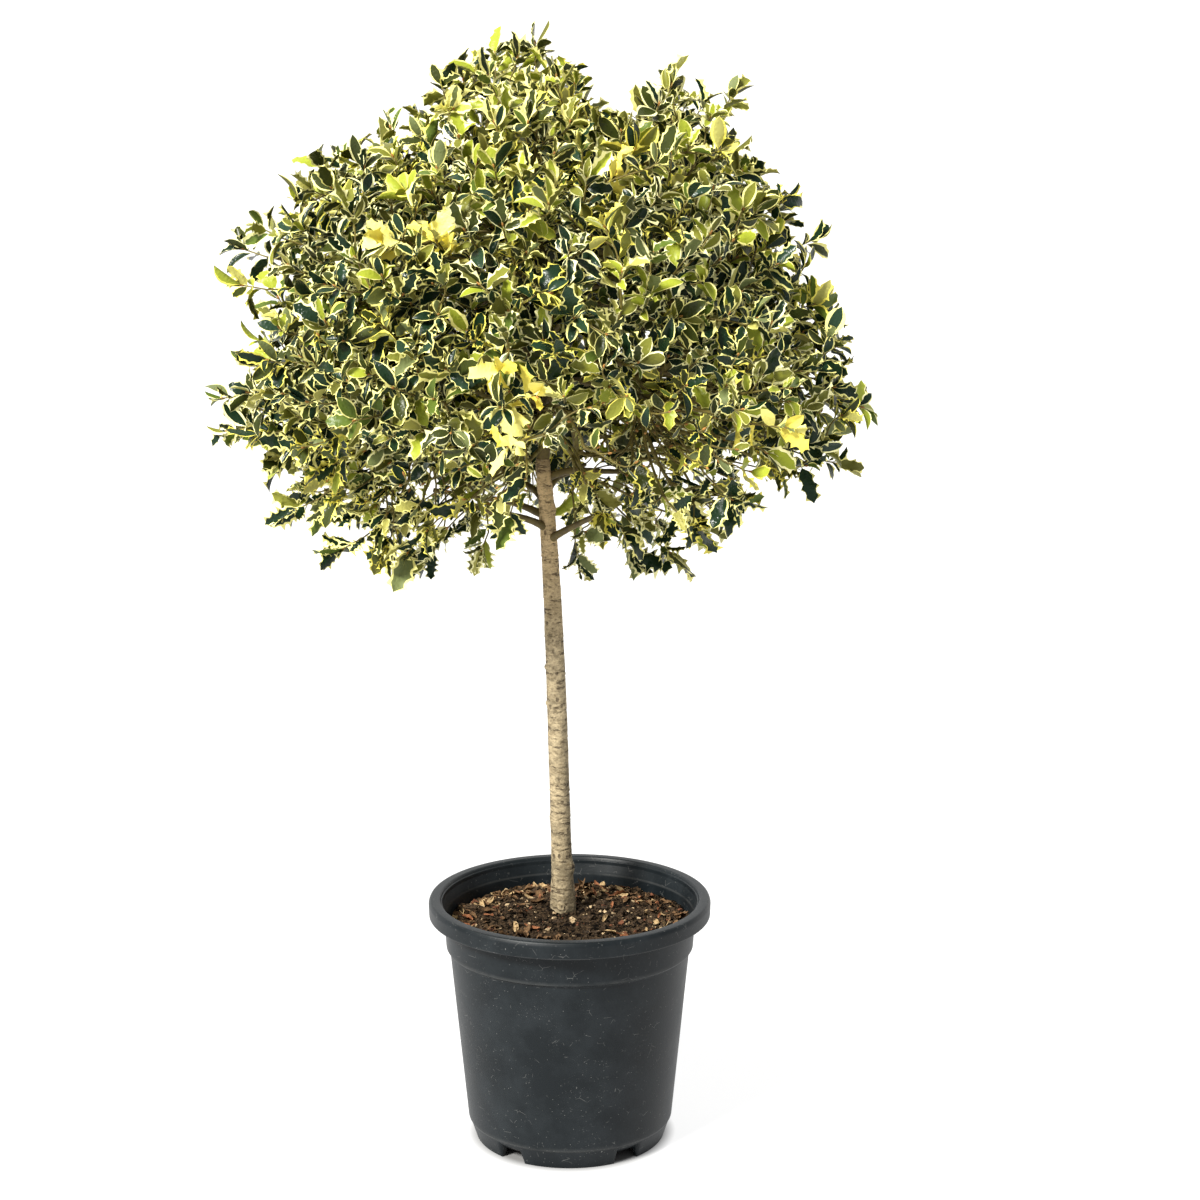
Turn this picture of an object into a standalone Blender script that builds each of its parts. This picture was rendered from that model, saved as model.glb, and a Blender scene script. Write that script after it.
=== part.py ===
"""Variegated holly grown as a half standard in a round nursery pot, at real size.

Metres, +Z up. The origin is the middle of the pot's underside, on the ground.
The front, from which the crown's outline was taken, is the -Y side, with +X to the right.
"""

from math import cos, pi, radians, sin

import bmesh
import bpy
import numpy as np
from mathutils import Matrix, Vector, noise

# Clear gap between pieces that rest on each other
SEAT_GAP = 0.0003

# Pot: outer sizes
POT_SIDES = 28
RIM_TOP_Z = 0.3540
RIM_RADIUS = 0.200
RIM_WIDTH = 0.018
RIM_ROUND = 0.004
LIP_BOTTOM_Z = 0.3295
COLLAR_TOP_RADIUS = 0.1787
COLLAR_FOOT_RADIUS = 0.1755
COLLAR_FOOT_Z = 0.2830
BODY_TOP_RADIUS = 0.1705
BODY_FOOT_RADIUS = 0.1462
STEP_DROP = 0.002
FOOT_HEIGHT = 0.0290
FOOT_TOP_RADIUS = 0.1445
FOOT_RADIUS = 0.1350
FOOT_RING_WIDTH = 0.006
WALL = 0.003
FLOOR_UNDERSIDE_Z = 0.020
FLOOR_RADIUS = 0.1385
MIDDLE_FOOT_RADIUS = 0.028

# Drain notches through the foot ring, none of them straight in front
NOTCH_COUNT = 5
NOTCH_HEIGHT = 0.0175
NOTCH_WIDTH = 0.040
NOTCH_TOP_SHARE = 0.80
NOTCH_DEPTH = 0.040
NOTCH_FIRST_DEG = -90 + 36

# Potting compost: it fills the pot up to a low mound, highest round the trunk
COMPOST_EDGE_Z = 0.316
COMPOST_PEAK_Z = 0.322
COMPOST_RINGS = 6
COMPOST_PLATEAU = 0.056
COMPOST_SLOPE = 0.095
COMPOST_LUMP = 0.004
COMPOST_LUMP_SCALE = 22.0

# Trunk: it leans a little to the left, bends near the fork and flares into the compost
TRUNK_FOOT = Vector((-0.010, 0.045, COMPOST_PEAK_Z + SEAT_GAP))
FORK_Z = 0.972
TRUNK_LEAN = -0.016
TRUNK_BEND = -0.010
TRUNK_BACK_LEAN = -0.010
TRUNK_FOOT_RADIUS = 0.0148
TRUNK_FORK_RADIUS = 0.0097
TRUNK_TAPER_POWER = 1.5
FLARE = 0.0045
FLARE_HEIGHT = 0.020
TRUNK_POINTS = 12
LEVEL_END = 0.004

# Leader: the limb that carries the trunk on above the fork, into the middle of the crown
LEADER_TIP_Z = 1.300
LEADER_FOOT_RADIUS = 0.0090
LEADER_TIP_RADIUS = 0.0046
LEADER_SWAY = 0.008
LEADER_POINTS = 9

# Crown: its middle, and how far it reaches from there at each elevation in degrees
CROWN_MIDDLE = Vector((-0.040, 0.030, 1.150))
LEFT_OUTLINE = (
    (-90, 0.310), (-68, 0.375), (-48, 0.425), (-29, 0.445), (-12, 0.470), (3, 0.420),
    (14, 0.450), (28, 0.410), (38, 0.400), (52, 0.370), (68, 0.370), (90, 0.418),
)
RIGHT_OUTLINE = (
    (-90, 0.310), (-62, 0.365), (-45, 0.405), (-31, 0.425), (-12, 0.475), (0, 0.415),
    (14, 0.410), (28, 0.415), (45, 0.410), (56, 0.427), (67, 0.330), (90, 0.418),
)
DEPTH_SHARE = 0.96
REACH_SPREAD = 0.05

# Foliage masses: clear space between two, and how uneven each one is
MASS_GAP = 0.006
MASS_LUMP = 0.34
MASS_LUMP_SCALE = 2.3
MASS_SUBDIVISIONS = 3
SEED_STEP = 7.3

# Boughs: straight length at the tip, points along each, tip radius over foot radius
BOUGH_STRAIGHT = 0.012
BOUGH_POINTS = 4
BOUGH_TIP_SHARE = 0.62

# Each tier of masses: elevations and azimuths seen from the crown's middle, the masses' half
# sizes outward, sideways and upward, how far each bough stops short of its mass's middle, the
# heights between which the boughs leave the stem, how many places each next one moves along
# them, their foot radius and how steeply they start
TIERS = {
    "skirt": dict(
        elevation=-42, azimuths=(-45, 9, 63, 117, 171, 225), half=(0.120, 0.165, 0.108),
        seat=0.080, roots=(0.866, 0.952), stride=5, root_radius=0.0050, start=20,
    ),
    "belt": dict(
        elevation=-11, azimuths=(-90, -45, 0, 45, 90, 135, 180, 225), half=(0.145, 0.160, 0.138),
        seat=0.096, roots=(1.030, 1.100), stride=3, root_radius=0.0048, start=60,
    ),
    "shoulder": dict(
        elevation=29, azimuths=(-70, -10, 50, 110, 170, 230), half=(0.150, 0.190, 0.145),
        seat=0.090, roots=(1.108, 1.168), stride=5, root_radius=0.0042, start=58,
    ),
    "crest": dict(
        elevation=57, azimuths=(0,), half=(0.125, 0.150, 0.125),
        seat=0.080, roots=(1.195, 1.195), stride=1, root_radius=0.0036, start=62,
    ),
}
TOP_ELEVATION = 88
TOP_AZIMUTH = 190
TOP_HALF = (0.150, 0.185, 0.175)


def clear_scene():
    for old in list(bpy.data.objects):
        bpy.data.objects.remove(old, do_unlink=True)


def new_collection(name):
    collection = bpy.data.collections.new(name)
    bpy.context.scene.collection.children.link(collection)
    return collection


def new_material(name, colour, roughness):
    made = bpy.data.materials.new(name)
    made.use_nodes = True
    shader = made.node_tree.nodes["Principled BSDF"]
    shader.inputs["Base Color"].default_value = (*colour, 1.0)
    shader.inputs["Roughness"].default_value = roughness
    made.diffuse_color = (*colour, 1.0)
    return made


def add_object(name, data, collection, material=None):
    made = bpy.data.objects.new(name, data)
    collection.objects.link(made)
    if material:
        data.materials.append(material)
    return made


def make_cutter(obj):
    obj.hide_render = True
    obj.display_type = "WIRE"
    return obj


def cut(obj, cutter):
    made = obj.modifiers.new(f"cut by {cutter.name}", "BOOLEAN")
    made.operation = "DIFFERENCE"
    made.solver = "EXACT"
    made.object = cutter


def direction(azimuth, elevation):
    """Unit vector at an azimuth from +X and an elevation from level, both in degrees."""
    turn = radians(azimuth)
    rise = radians(elevation)
    return Vector((cos(rise) * cos(turn), cos(rise) * sin(turn), sin(rise)))


# Pot and compost

def pot_inside():
    """Inner side of the pot from the edge of its floor to the rim, as radius and height."""
    return [
        (FLOOR_RADIUS, FLOOR_UNDERSIDE_Z + WALL),
        (BODY_FOOT_RADIUS - WALL, FOOT_HEIGHT + WALL),
        (BODY_TOP_RADIUS - WALL, COLLAR_FOOT_Z - STEP_DROP),
        (COLLAR_FOOT_RADIUS - WALL, COLLAR_FOOT_Z + STEP_DROP),
        (COLLAR_TOP_RADIUS - WALL, LIP_BOTTOM_Z),
        (RIM_RADIUS - RIM_WIDTH, RIM_TOP_Z - RIM_ROUND),
    ]


def inside_radius(z):
    radii, heights = zip(*pot_inside())
    return float(np.interp(z, heights, radii))


def pot_profile():
    """Section of the pot: up the inside from the floor, over the rim, down the outside."""
    over_rim = [
        (RIM_RADIUS - RIM_WIDTH + RIM_ROUND, RIM_TOP_Z),
        (RIM_RADIUS - RIM_ROUND, RIM_TOP_Z),
        (RIM_RADIUS, RIM_TOP_Z - RIM_ROUND),
    ]
    outside = [
        (RIM_RADIUS, LIP_BOTTOM_Z),
        (COLLAR_TOP_RADIUS, LIP_BOTTOM_Z),
        (COLLAR_FOOT_RADIUS, COLLAR_FOOT_Z),
        (BODY_TOP_RADIUS, COLLAR_FOOT_Z - STEP_DROP),
        (BODY_FOOT_RADIUS, FOOT_HEIGHT),
        (FOOT_TOP_RADIUS, FOOT_HEIGHT - STEP_DROP),
        (FOOT_RADIUS, 0.0),
    ]
    underside = [
        (FOOT_RADIUS - FOOT_RING_WIDTH, 0.0),
        (FOOT_RADIUS - FOOT_RING_WIDTH, FLOOR_UNDERSIDE_Z),
        (MIDDLE_FOOT_RADIUS, FLOOR_UNDERSIDE_Z),
        (MIDDLE_FOOT_RADIUS, 0.0),
        (0.0, 0.0),
    ]
    middle_of_floor = (0.0, FLOOR_UNDERSIDE_Z + WALL)
    return [middle_of_floor, *pot_inside(), *over_rim, *outside, *underside]


def profile_mesh(name, points):
    mesh = bpy.data.meshes.new(name)
    vertices = [(radius, 0.0, z) for radius, z in points]
    edges = [(i, i + 1) for i in range(len(points) - 1)]
    mesh.from_pydata(vertices, edges, [])
    return mesh


def turn_profile(obj):
    """Turns a profile in the XZ plane once round the Z axis."""
    made = obj.modifiers.new("turn", "SCREW")
    made.axis = "Z"
    made.steps = POT_SIDES
    made.render_steps = POT_SIDES
    made.use_merge_vertices = True
    made.merge_threshold = 0.00001


def notch_cutter(number, collection):
    """A block through the foot ring, a little narrower at its top than at the ground."""
    bm = bmesh.new()
    bmesh.ops.create_cube(bm, size=1.0)
    for vertex in bm.verts:
        top = vertex.co.z > 0
        vertex.co.x *= NOTCH_DEPTH
        vertex.co.y *= NOTCH_WIDTH * (NOTCH_TOP_SHARE if top else 1.0)
        vertex.co.z = NOTCH_HEIGHT if top else -NOTCH_HEIGHT
    mesh = bpy.data.meshes.new(f"notch_cutter_{number}")
    bm.to_mesh(mesh)
    bm.free()
    made = add_object(mesh.name, mesh, collection)
    turn = radians(NOTCH_FIRST_DEG + number * 360 / NOTCH_COUNT)
    middle = FOOT_RADIUS - FOOT_RING_WIDTH / 2
    made.location = (middle * cos(turn), middle * sin(turn), 0.0)
    made.rotation_euler.z = turn
    return make_cutter(made)


def make_pot(parts, cutters, material):
    pot = add_object("pot", profile_mesh("pot", pot_profile()), parts, material)
    turn_profile(pot)
    for number in range(NOTCH_COUNT):
        cut(pot, notch_cutter(number, cutters))
    return pot


def compost_height(x, y):
    """Level round the trunk, then falling off smoothly to the wall, with small lumps."""
    away = (Vector((x, y)) - TRUNK_FOOT.xy).length
    fall = min(max((away - COMPOST_PLATEAU) / COMPOST_SLOPE, 0.0), 1.0)
    smooth = fall * fall * (3 - 2 * fall)
    lump = noise.noise(Vector((x, y, 0.0)) * COMPOST_LUMP_SCALE) * COMPOST_LUMP * smooth
    return COMPOST_PEAK_Z + (COMPOST_EDGE_Z - COMPOST_PEAK_Z) * smooth + lump


def make_compost(parts, material):
    """A turned plug that follows the pot's inner wall, with its top raised into the mound."""
    edge_radius = inside_radius(COMPOST_EDGE_Z - COMPOST_LUMP) - SEAT_GAP
    top = [(edge_radius * i / COMPOST_RINGS, COMPOST_EDGE_Z) for i in range(COMPOST_RINGS + 1)]
    below = [point for point in reversed(pot_inside()) if point[1] < COMPOST_EDGE_Z]
    side = [(radius - SEAT_GAP, z + SEAT_GAP) for radius, z in below]
    profile = [*top, *side, (0.0, FLOOR_UNDERSIDE_Z + WALL + SEAT_GAP)]
    bm = bmesh.new()
    points = [bm.verts.new((radius, 0.0, z)) for radius, z in profile]
    edges = [bm.edges.new(pair) for pair in zip(points, points[1:])]
    bmesh.ops.spin(
        bm, geom=points + edges, cent=(0, 0, 0), axis=(0, 0, 1), angle=2 * pi, steps=POT_SIDES,
        use_merge=True,
    )
    bmesh.ops.remove_doubles(bm, verts=bm.verts, dist=0.00001)
    for vertex in bm.verts:
        if vertex.co.z > COMPOST_EDGE_Z - SEAT_GAP:
            vertex.co.z = compost_height(vertex.co.x, vertex.co.y)
    bmesh.ops.triangulate(bm, faces=bm.faces)
    bmesh.ops.recalc_face_normals(bm, faces=bm.faces)
    mesh = bpy.data.meshes.new("compost")
    bm.to_mesh(mesh)
    bm.free()
    return add_object("compost", mesh, parts, material)


# Trunk, leader and boughs

def trunk_middle(share):
    """Point on the trunk's middle line, from 0 at the compost to 1 at the fork."""
    x = TRUNK_FOOT.x + TRUNK_LEAN * share + TRUNK_BEND * share**4
    y = TRUNK_FOOT.y + TRUNK_BACK_LEAN * share
    return Vector((x, y, TRUNK_FOOT.z + share * (FORK_Z - TRUNK_FOOT.z)))


def trunk_radius(share):
    """Taper from foot to fork, with the flare dying away above the compost."""
    taper = (TRUNK_FOOT_RADIUS - TRUNK_FORK_RADIUS) * share**TRUNK_TAPER_POWER
    height = share * (FORK_Z - TRUNK_FOOT.z)
    return TRUNK_FOOT_RADIUS - taper + FLARE * np.exp(-height / FLARE_HEIGHT)


def leader_middle(share):
    """Point on the leader's middle line: it sways once on its way up from the fork."""
    foot = trunk_middle(1.0)
    tip = Vector((CROWN_MIDDLE.x, CROWN_MIDDLE.y, LEADER_TIP_Z))
    made = foot.lerp(tip, share)
    made.x += LEADER_SWAY * sin(2 * pi * share)
    made.z = FORK_Z + SEAT_GAP + share * (LEADER_TIP_Z - FORK_Z - SEAT_GAP)
    return made


def leader_radius(share):
    return LEADER_FOOT_RADIUS + share * (LEADER_TIP_RADIUS - LEADER_FOOT_RADIUS)


def stem_middle(z):
    """Point on the trunk or the leader at a height."""
    if z < FORK_Z:
        return trunk_middle((z - TRUNK_FOOT.z) / (FORK_Z - TRUNK_FOOT.z))
    return leader_middle((z - FORK_Z) / (LEADER_TIP_Z - FORK_Z))


def limb_curve(name, points, radii, roundness):
    """A tube along a line of points, with its own radius at each of them and flat ends."""
    curve = bpy.data.curves.new(name, "CURVE")
    curve.dimensions = "3D"
    curve.bevel_depth = 1.0
    curve.bevel_resolution = roundness
    curve.use_fill_caps = True
    spline = curve.splines.new("POLY")
    spline.points.add(len(points) - 1)
    for target, point, radius in zip(spline.points, points, radii):
        target.co = (*point, 1.0)
        target.radius = radius
    return curve


def curve_to_mesh(curve, collection):
    """The curve's own mesh, with its loose caps welded on."""
    holder = add_object(curve.name, curve, collection)
    ready = holder.evaluated_get(bpy.context.evaluated_depsgraph_get())
    mesh = bpy.data.meshes.new_from_object(ready)
    bpy.data.objects.remove(holder, do_unlink=True)
    bm = bmesh.new()
    bm.from_mesh(mesh)
    bmesh.ops.remove_doubles(bm, verts=bm.verts, dist=0.00001)
    bmesh.ops.recalc_face_normals(bm, faces=bm.faces)
    bm.to_mesh(mesh)
    bm.free()
    return mesh


def with_level_ends(points, radii):
    """The line with a short upright stretch at both ends, so that its end cuts are level."""
    lift = Vector((0.0, 0.0, LEVEL_END))
    points = [points[0], points[0] + lift, *points[1:-1], points[-1] - lift, points[-1]]
    return points, [radii[0], *radii, radii[-1]]


def make_stem(name, middle, radius, count, roundness, parts, cutters, material):
    """The trunk or the leader, and the cutter that keeps the boughs a hair clear of it."""
    shares = [i / (count - 1) for i in range(count)]
    points, radii = with_level_ends([middle(s) for s in shares], [radius(s) for s in shares])
    curve = limb_curve(name, points, radii, roundness)
    stem = add_object(name, curve_to_mesh(curve, parts), parts, material)
    wide = [r + SEAT_GAP for r in radii]
    curve = limb_curve(f"{name}_clearance", points, wide, roundness)
    cutter = make_cutter(add_object(curve.name, curve_to_mesh(curve, cutters), cutters))
    return stem, cutter


def bough_line(root, seat, start, end):
    """A cubic curve from the stem to the mass, with a short straight stretch before its end."""
    last = seat - end * BOUGH_STRAIGHT
    pull = (last - root).length / 3
    handles = (root, root + start * pull, last - end * pull, last)
    points = []
    for i in range(BOUGH_POINTS):
        t = i / (BOUGH_POINTS - 1)
        weights = ((1 - t) ** 3, 3 * t * (1 - t) ** 2, 3 * t * t * (1 - t), t**3)
        points.append(sum((h * w for h, w in zip(handles, weights)), Vector()))
    return points + [seat]


def make_bough(name, root, seat, start, end, radius, parts, material, clearances):
    points = bough_line(root, seat - end * SEAT_GAP, start, end)
    shares = [i / (len(points) - 1) for i in range(len(points))]
    radii = [radius * (1 - s * (1 - BOUGH_TIP_SHARE)) for s in shares]
    mesh = curve_to_mesh(limb_curve(name, points, radii, 1), parts)
    bough = add_object(name, mesh, parts, material)
    for clearance in clearances:
        cut(bough, clearance)
    return bough


# Crown

def outline_reach(ray):
    """The crown's reach along a unit vector: the front outline at the sides, its mean in depth."""
    elevation = np.degrees(np.arcsin(ray.z))
    left = np.interp(elevation, *zip(*LEFT_OUTLINE))
    right = np.interp(elevation, *zip(*RIGHT_OUTLINE))
    across = ray.x**2 / max(ray.x**2 + ray.y**2, 1e-9)
    side = left if ray.x < 0 else right
    return float(across * side + (1 - across) * DEPTH_SHARE * (left + right) / 2)


class Mass:
    """One foliage mass: its middle, its own axes and half sizes, and where its bough ends."""

    def __init__(self, name, azimuth, elevation, half, seat, root, number):
        self.name = name
        self.half = half
        self.number = number
        ray = direction(azimuth, elevation)
        vary = 1 + REACH_SPREAD * noise.noise(Vector((number * SEED_STEP, 0.5, 0.5))) * abs(ray.y)
        self.middle = CROWN_MIDDLE + ray * (outline_reach(ray) * vary - half[0])
        side = Vector((-sin(radians(azimuth)), cos(radians(azimuth)), 0.0))
        self.axes = Matrix((ray, side, ray.cross(side)))
        self.root = root
        self.inward = (root - self.middle).normalized()
        self.seat = self.middle + self.inward * seat

    def reach(self, ray):
        """Distance from the middle to the surface: an ellipsoid that grows lumpy towards its outside."""
        local = self.axes @ ray
        round_reach = 1 / sum((c / h) ** 2 for c, h in zip(local, self.half)) ** 0.5
        place = ray * MASS_LUMP_SCALE + Vector((self.number * SEED_STEP, 0.0, 0.0))
        lump = MASS_LUMP * noise.noise(place) * (1 + local.x) / 2
        return round_reach * (1 + lump)

    def limits(self, masses):
        """Planes that bound the mass, as unit vector and distance from its middle."""
        made = [(self.inward, (self.seat - self.middle).length)]
        for other in masses:
            if other is not self:
                apart = other.middle - self.middle
                made.append((apart.normalized(), apart.length / 2 - MASS_GAP / 2))
        return made


def make_mass(mass, masses, parts, material):
    """An icosphere shaped as the lumpy ellipsoid, then drawn in behind the planes that bound it."""
    limits = mass.limits(masses)
    bm = bmesh.new()
    bmesh.ops.create_icosphere(bm, subdivisions=MASS_SUBDIVISIONS, radius=1.0)
    for vertex in bm.verts:
        vertex.co = vertex.co.normalized() * mass.reach(vertex.co.normalized())
    outermost = max(mass.axes[0].dot(vertex.co) for vertex in bm.verts)
    for vertex in bm.verts:
        out = max(mass.axes[0].dot(vertex.co), 0.0)
        vertex.co += mass.axes[0] * out * (mass.half[0] / outermost - 1)
        beyond = max(vertex.co.dot(normal) / distance for normal, distance in limits)
        vertex.co /= max(beyond, 1.0)
    mesh = bpy.data.meshes.new(mass.name)
    bm.to_mesh(mesh)
    bm.free()
    made = add_object(mass.name, mesh, parts, material)
    made.location = mass.middle
    return made


def plan_masses():
    """Every mass of the crown with the stem point that its bough leaves from."""
    masses = []
    for tier, plan in TIERS.items():
        count = len(plan["azimuths"])
        low, high = plan["roots"]
        for i, azimuth in enumerate(plan["azimuths"]):
            share = (i * plan["stride"] % count) / max(count - 1, 1)
            root = stem_middle(low + share * (high - low))
            name = f"foliage_{tier}_{i + 1}"
            made = Mass(name, azimuth, plan["elevation"], plan["half"], plan["seat"], root, len(masses))
            masses.append(made)
    return masses


def plan_top_mass(number):
    """The mass on the leader's tip, which carries the crown's highest point."""
    tip = leader_middle(1.0)
    made = Mass("foliage_top", TOP_AZIMUTH, TOP_ELEVATION, TOP_HALF, 0.0, tip, number)
    made.inward = Vector((0.0, 0.0, -1.0))
    made.seat = made.middle + made.inward * (made.middle.z - tip.z - SEAT_GAP)
    return made


def make_tier_boughs(masses, parts, material, clearances):
    for mass in masses:
        tier, number = mass.name.split("_")[1:]
        plan = TIERS[tier]
        flat = mass.middle - mass.root
        azimuth = np.degrees(np.arctan2(flat.y, flat.x))
        make_bough(
            f"bough_{tier}_{number}", mass.root, mass.seat, direction(azimuth, plan["start"]),
            -mass.inward, plan["root_radius"], parts, material, clearances,
        )


def main():
    clear_scene()
    parts = new_collection("potted holly")
    cutters = new_collection("cutters")
    plastic = new_material("pot plastic", (0.032, 0.037, 0.042), 0.50)
    compost = new_material("compost", (0.055, 0.030, 0.018), 0.95)
    bark = new_material("bark", (0.420, 0.350, 0.240), 0.85)
    young_bark = new_material("young bark", (0.130, 0.120, 0.045), 0.70)
    foliage = new_material("foliage", (0.160, 0.230, 0.075), 0.45)

    make_pot(parts, cutters, plastic)
    make_compost(parts, compost)
    trunk = ("trunk", trunk_middle, trunk_radius, TRUNK_POINTS, 4)
    leader = ("leader", leader_middle, leader_radius, LEADER_POINTS, 2)
    trunk_clearance = make_stem(*trunk, parts, cutters, bark)[1]
    leader_clearance = make_stem(*leader, parts, cutters, young_bark)[1]

    tiered = plan_masses()
    masses = tiered + [plan_top_mass(len(tiered))]
    for mass in masses:
        make_mass(mass, masses, parts, foliage)
    make_tier_boughs(tiered, parts, young_bark, (trunk_clearance, leader_clearance))


main()
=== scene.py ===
"""Looks of a variegated holly, grown as a half standard in a nursery pot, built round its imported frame.

Metres, +Z up, the front at -Y and +X to the right. Trunk and limbs follow the frame's own lines. The
crown is grown on from them: shoots are set out inside the frame's foliage masses and joined to the
nearest wood, and every shoot carries its spray of leaves.
"""

from functools import cache
from itertools import product
from math import cos, pi, radians, sin

import bpy
import numpy as np
from bpy.props import FloatProperty, FloatVectorProperty, IntProperty, PointerProperty
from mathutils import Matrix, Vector


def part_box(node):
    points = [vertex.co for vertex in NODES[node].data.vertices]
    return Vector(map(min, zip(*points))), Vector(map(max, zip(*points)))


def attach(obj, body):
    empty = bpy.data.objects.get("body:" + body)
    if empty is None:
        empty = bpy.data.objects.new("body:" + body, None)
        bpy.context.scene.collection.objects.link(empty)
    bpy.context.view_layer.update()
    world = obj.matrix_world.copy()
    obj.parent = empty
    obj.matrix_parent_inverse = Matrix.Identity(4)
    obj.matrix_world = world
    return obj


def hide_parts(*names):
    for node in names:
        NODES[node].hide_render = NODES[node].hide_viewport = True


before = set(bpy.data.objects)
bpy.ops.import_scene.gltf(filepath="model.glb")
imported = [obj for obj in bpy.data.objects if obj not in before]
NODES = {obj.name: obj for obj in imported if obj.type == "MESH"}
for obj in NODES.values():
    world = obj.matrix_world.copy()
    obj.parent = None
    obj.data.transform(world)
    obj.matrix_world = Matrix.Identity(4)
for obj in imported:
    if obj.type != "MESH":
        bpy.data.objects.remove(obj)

bl_info = {
    "name": "Potted Variegated Holly",
    "version": (1, 0, 0),
    "blender": (4, 5, 0),
    "location": "3D View > Sidebar > Holly",
    "description": "Grows a half-standard variegated holly in its nursery pot",
    "category": "Add Mesh",
}

UP = np.array((0.0, 0.0, 1.0))
GOLDEN_ANGLE = pi * (3 - 5**0.5)


# Settings

def size(name, description, default):
    """A length in metres for a property group."""
    return FloatProperty(name=name, description=description, default=default, unit="LENGTH", precision=4)


def share(name, description, default, measure="NONE"):
    """A plain number, such as a share of something, for a property group."""
    return FloatProperty(name=name, description=description, default=default, unit=measure)


def whole_number(name, description, default):
    """A count or a seed for a property group."""
    return IntProperty(name=name, description=description, default=default)


def rotation(name, description, degrees):
    """An angle for a property group, given in degrees."""
    return FloatProperty(name=name, description=description, default=radians(degrees), unit="ROTATION")


def tint(name, description, default):
    """A colour for a property group."""
    return FloatVectorProperty(
        name=name, description=description, default=default, subtype="COLOR", size=3, min=0, max=1
    )


POT_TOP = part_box("pot")[1]
COMPOST_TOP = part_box("compost")[1]


class HollyPotSettings(bpy.types.PropertyGroup):
    """Sizes and colours of the nursery pot"""

    height: size("Height", "Height of the rim's top", POT_TOP.z)
    rim_radius: size("Rim radius", "Outer radius of the turned rim", POT_TOP.x)
    rim_width: size("Rim width", "Width of the rim's flat top", 0.018)
    rim_depth: size("Rim depth", "Height of the rim's outer face", 0.0245)
    wall: size("Wall", "Thickness of the moulding", 0.003)
    collar_radius: size("Collar radius", "Outer radius of the collar under the rim", 0.1787)
    collar_foot_radius: size("Collar foot radius", "Outer radius at the collar's lower edge", 0.1755)
    collar_foot: size("Collar foot", "Height of the collar's lower edge", 0.283)
    body_radius: size("Body radius", "Outer radius of the body under the collar", 0.1705)
    foot_radius: size("Foot radius", "Outer radius where the body meets the foot ring", 0.1462)
    foot_height: size("Foot height", "Height of the foot ring", 0.029)
    ground_radius: size("Ground radius", "Outer radius of the foot ring on the ground", 0.135)
    floor_height: size("Floor height", "Height of the floor's underside", 0.020)
    notches: whole_number("Notches", "Drain notches in the foot ring", 5)
    notch_height: size("Notch height", "Height of a drain notch", 0.0175)
    notch_width: size("Notch width", "Width of a drain notch on the ground", 0.040)
    colour: tint("Colour", "Moulded plastic", (0.0038, 0.0060, 0.0075))
    worn_colour: tint("Worn colour", "Plastic where it is rubbed and faded", (0.0115, 0.0150, 0.0175))
    # This colour also paints the highlights along the pot's corners
    dust_and_highlight_colour: tint("Dust colour", "Specks and dried splashes", (0.20, 0.20, 0.19))


class HollyCompostSettings(bpy.types.PropertyGroup):
    """Sizes and colours of the compost and of the litter on it"""

    edge_height: size("Edge height", "Height of the compost at the wall", 0.316)
    peak_height: size("Peak height", "Height of the compost round the trunk", COMPOST_TOP.z)
    plateau: size("Plateau", "Radius round the trunk that is nearly level", 0.056)
    slope: size("Slope", "Distance over which the mound falls to the wall's level", 0.095)
    chips: whole_number("Chips", "Number of bark chips", 3400)
    dead_leaves: whole_number("Dead leaves", "Number of dead leaves", 300)
    # dark: damp compost, and painted shade in the hollows between the lumps
    dark: tint("Dark", "Moist compost in the hollows", (0.0025, 0.0016, 0.0010))
    light: tint("Light", "Drier compost on the lumps", (0.070, 0.046, 0.026))
    grain: tint("Grain", "Pale grains in the compost", (0.26, 0.18, 0.10))


class HollyTrunkSettings(bpy.types.PropertyGroup):
    """Relief and colours of the trunk's bark"""

    wrinkle: size("Wrinkle", "Height of the fine cross wrinkles", 0.00028)
    lump: size("Lump", "Height of the broad unevenness", 0.0007)
    scar: size("Scar", "Depth of the ring scars", 0.0007)
    thicker: share("Thicker", "How much the bark adds to the radius above the foot", 0.06)
    pale: tint("Pale", "Bark that the light has bleached", (0.475, 0.382, 0.235))
    grey: tint("Grey", "Greyer film on the bark", (0.180, 0.145, 0.088))
    # warm: more brown bark, and lighter than the pale bark as painted light on the trunk under the crown's
    # shade
    warm: tint("Warm", "Browner bark higher up", (0.820, 0.570, 0.280))
    streak: tint("Streak", "Streaks across the stem and mottles", (0.110, 0.078, 0.038))
    # shade: painted shade on the bark just under the fork
    shade: tint("Shade", "Darker bark just under the fork", (0.130, 0.096, 0.045))
    dark: tint("Dark", "Cracks and lenticels", (0.045, 0.028, 0.015))


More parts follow.
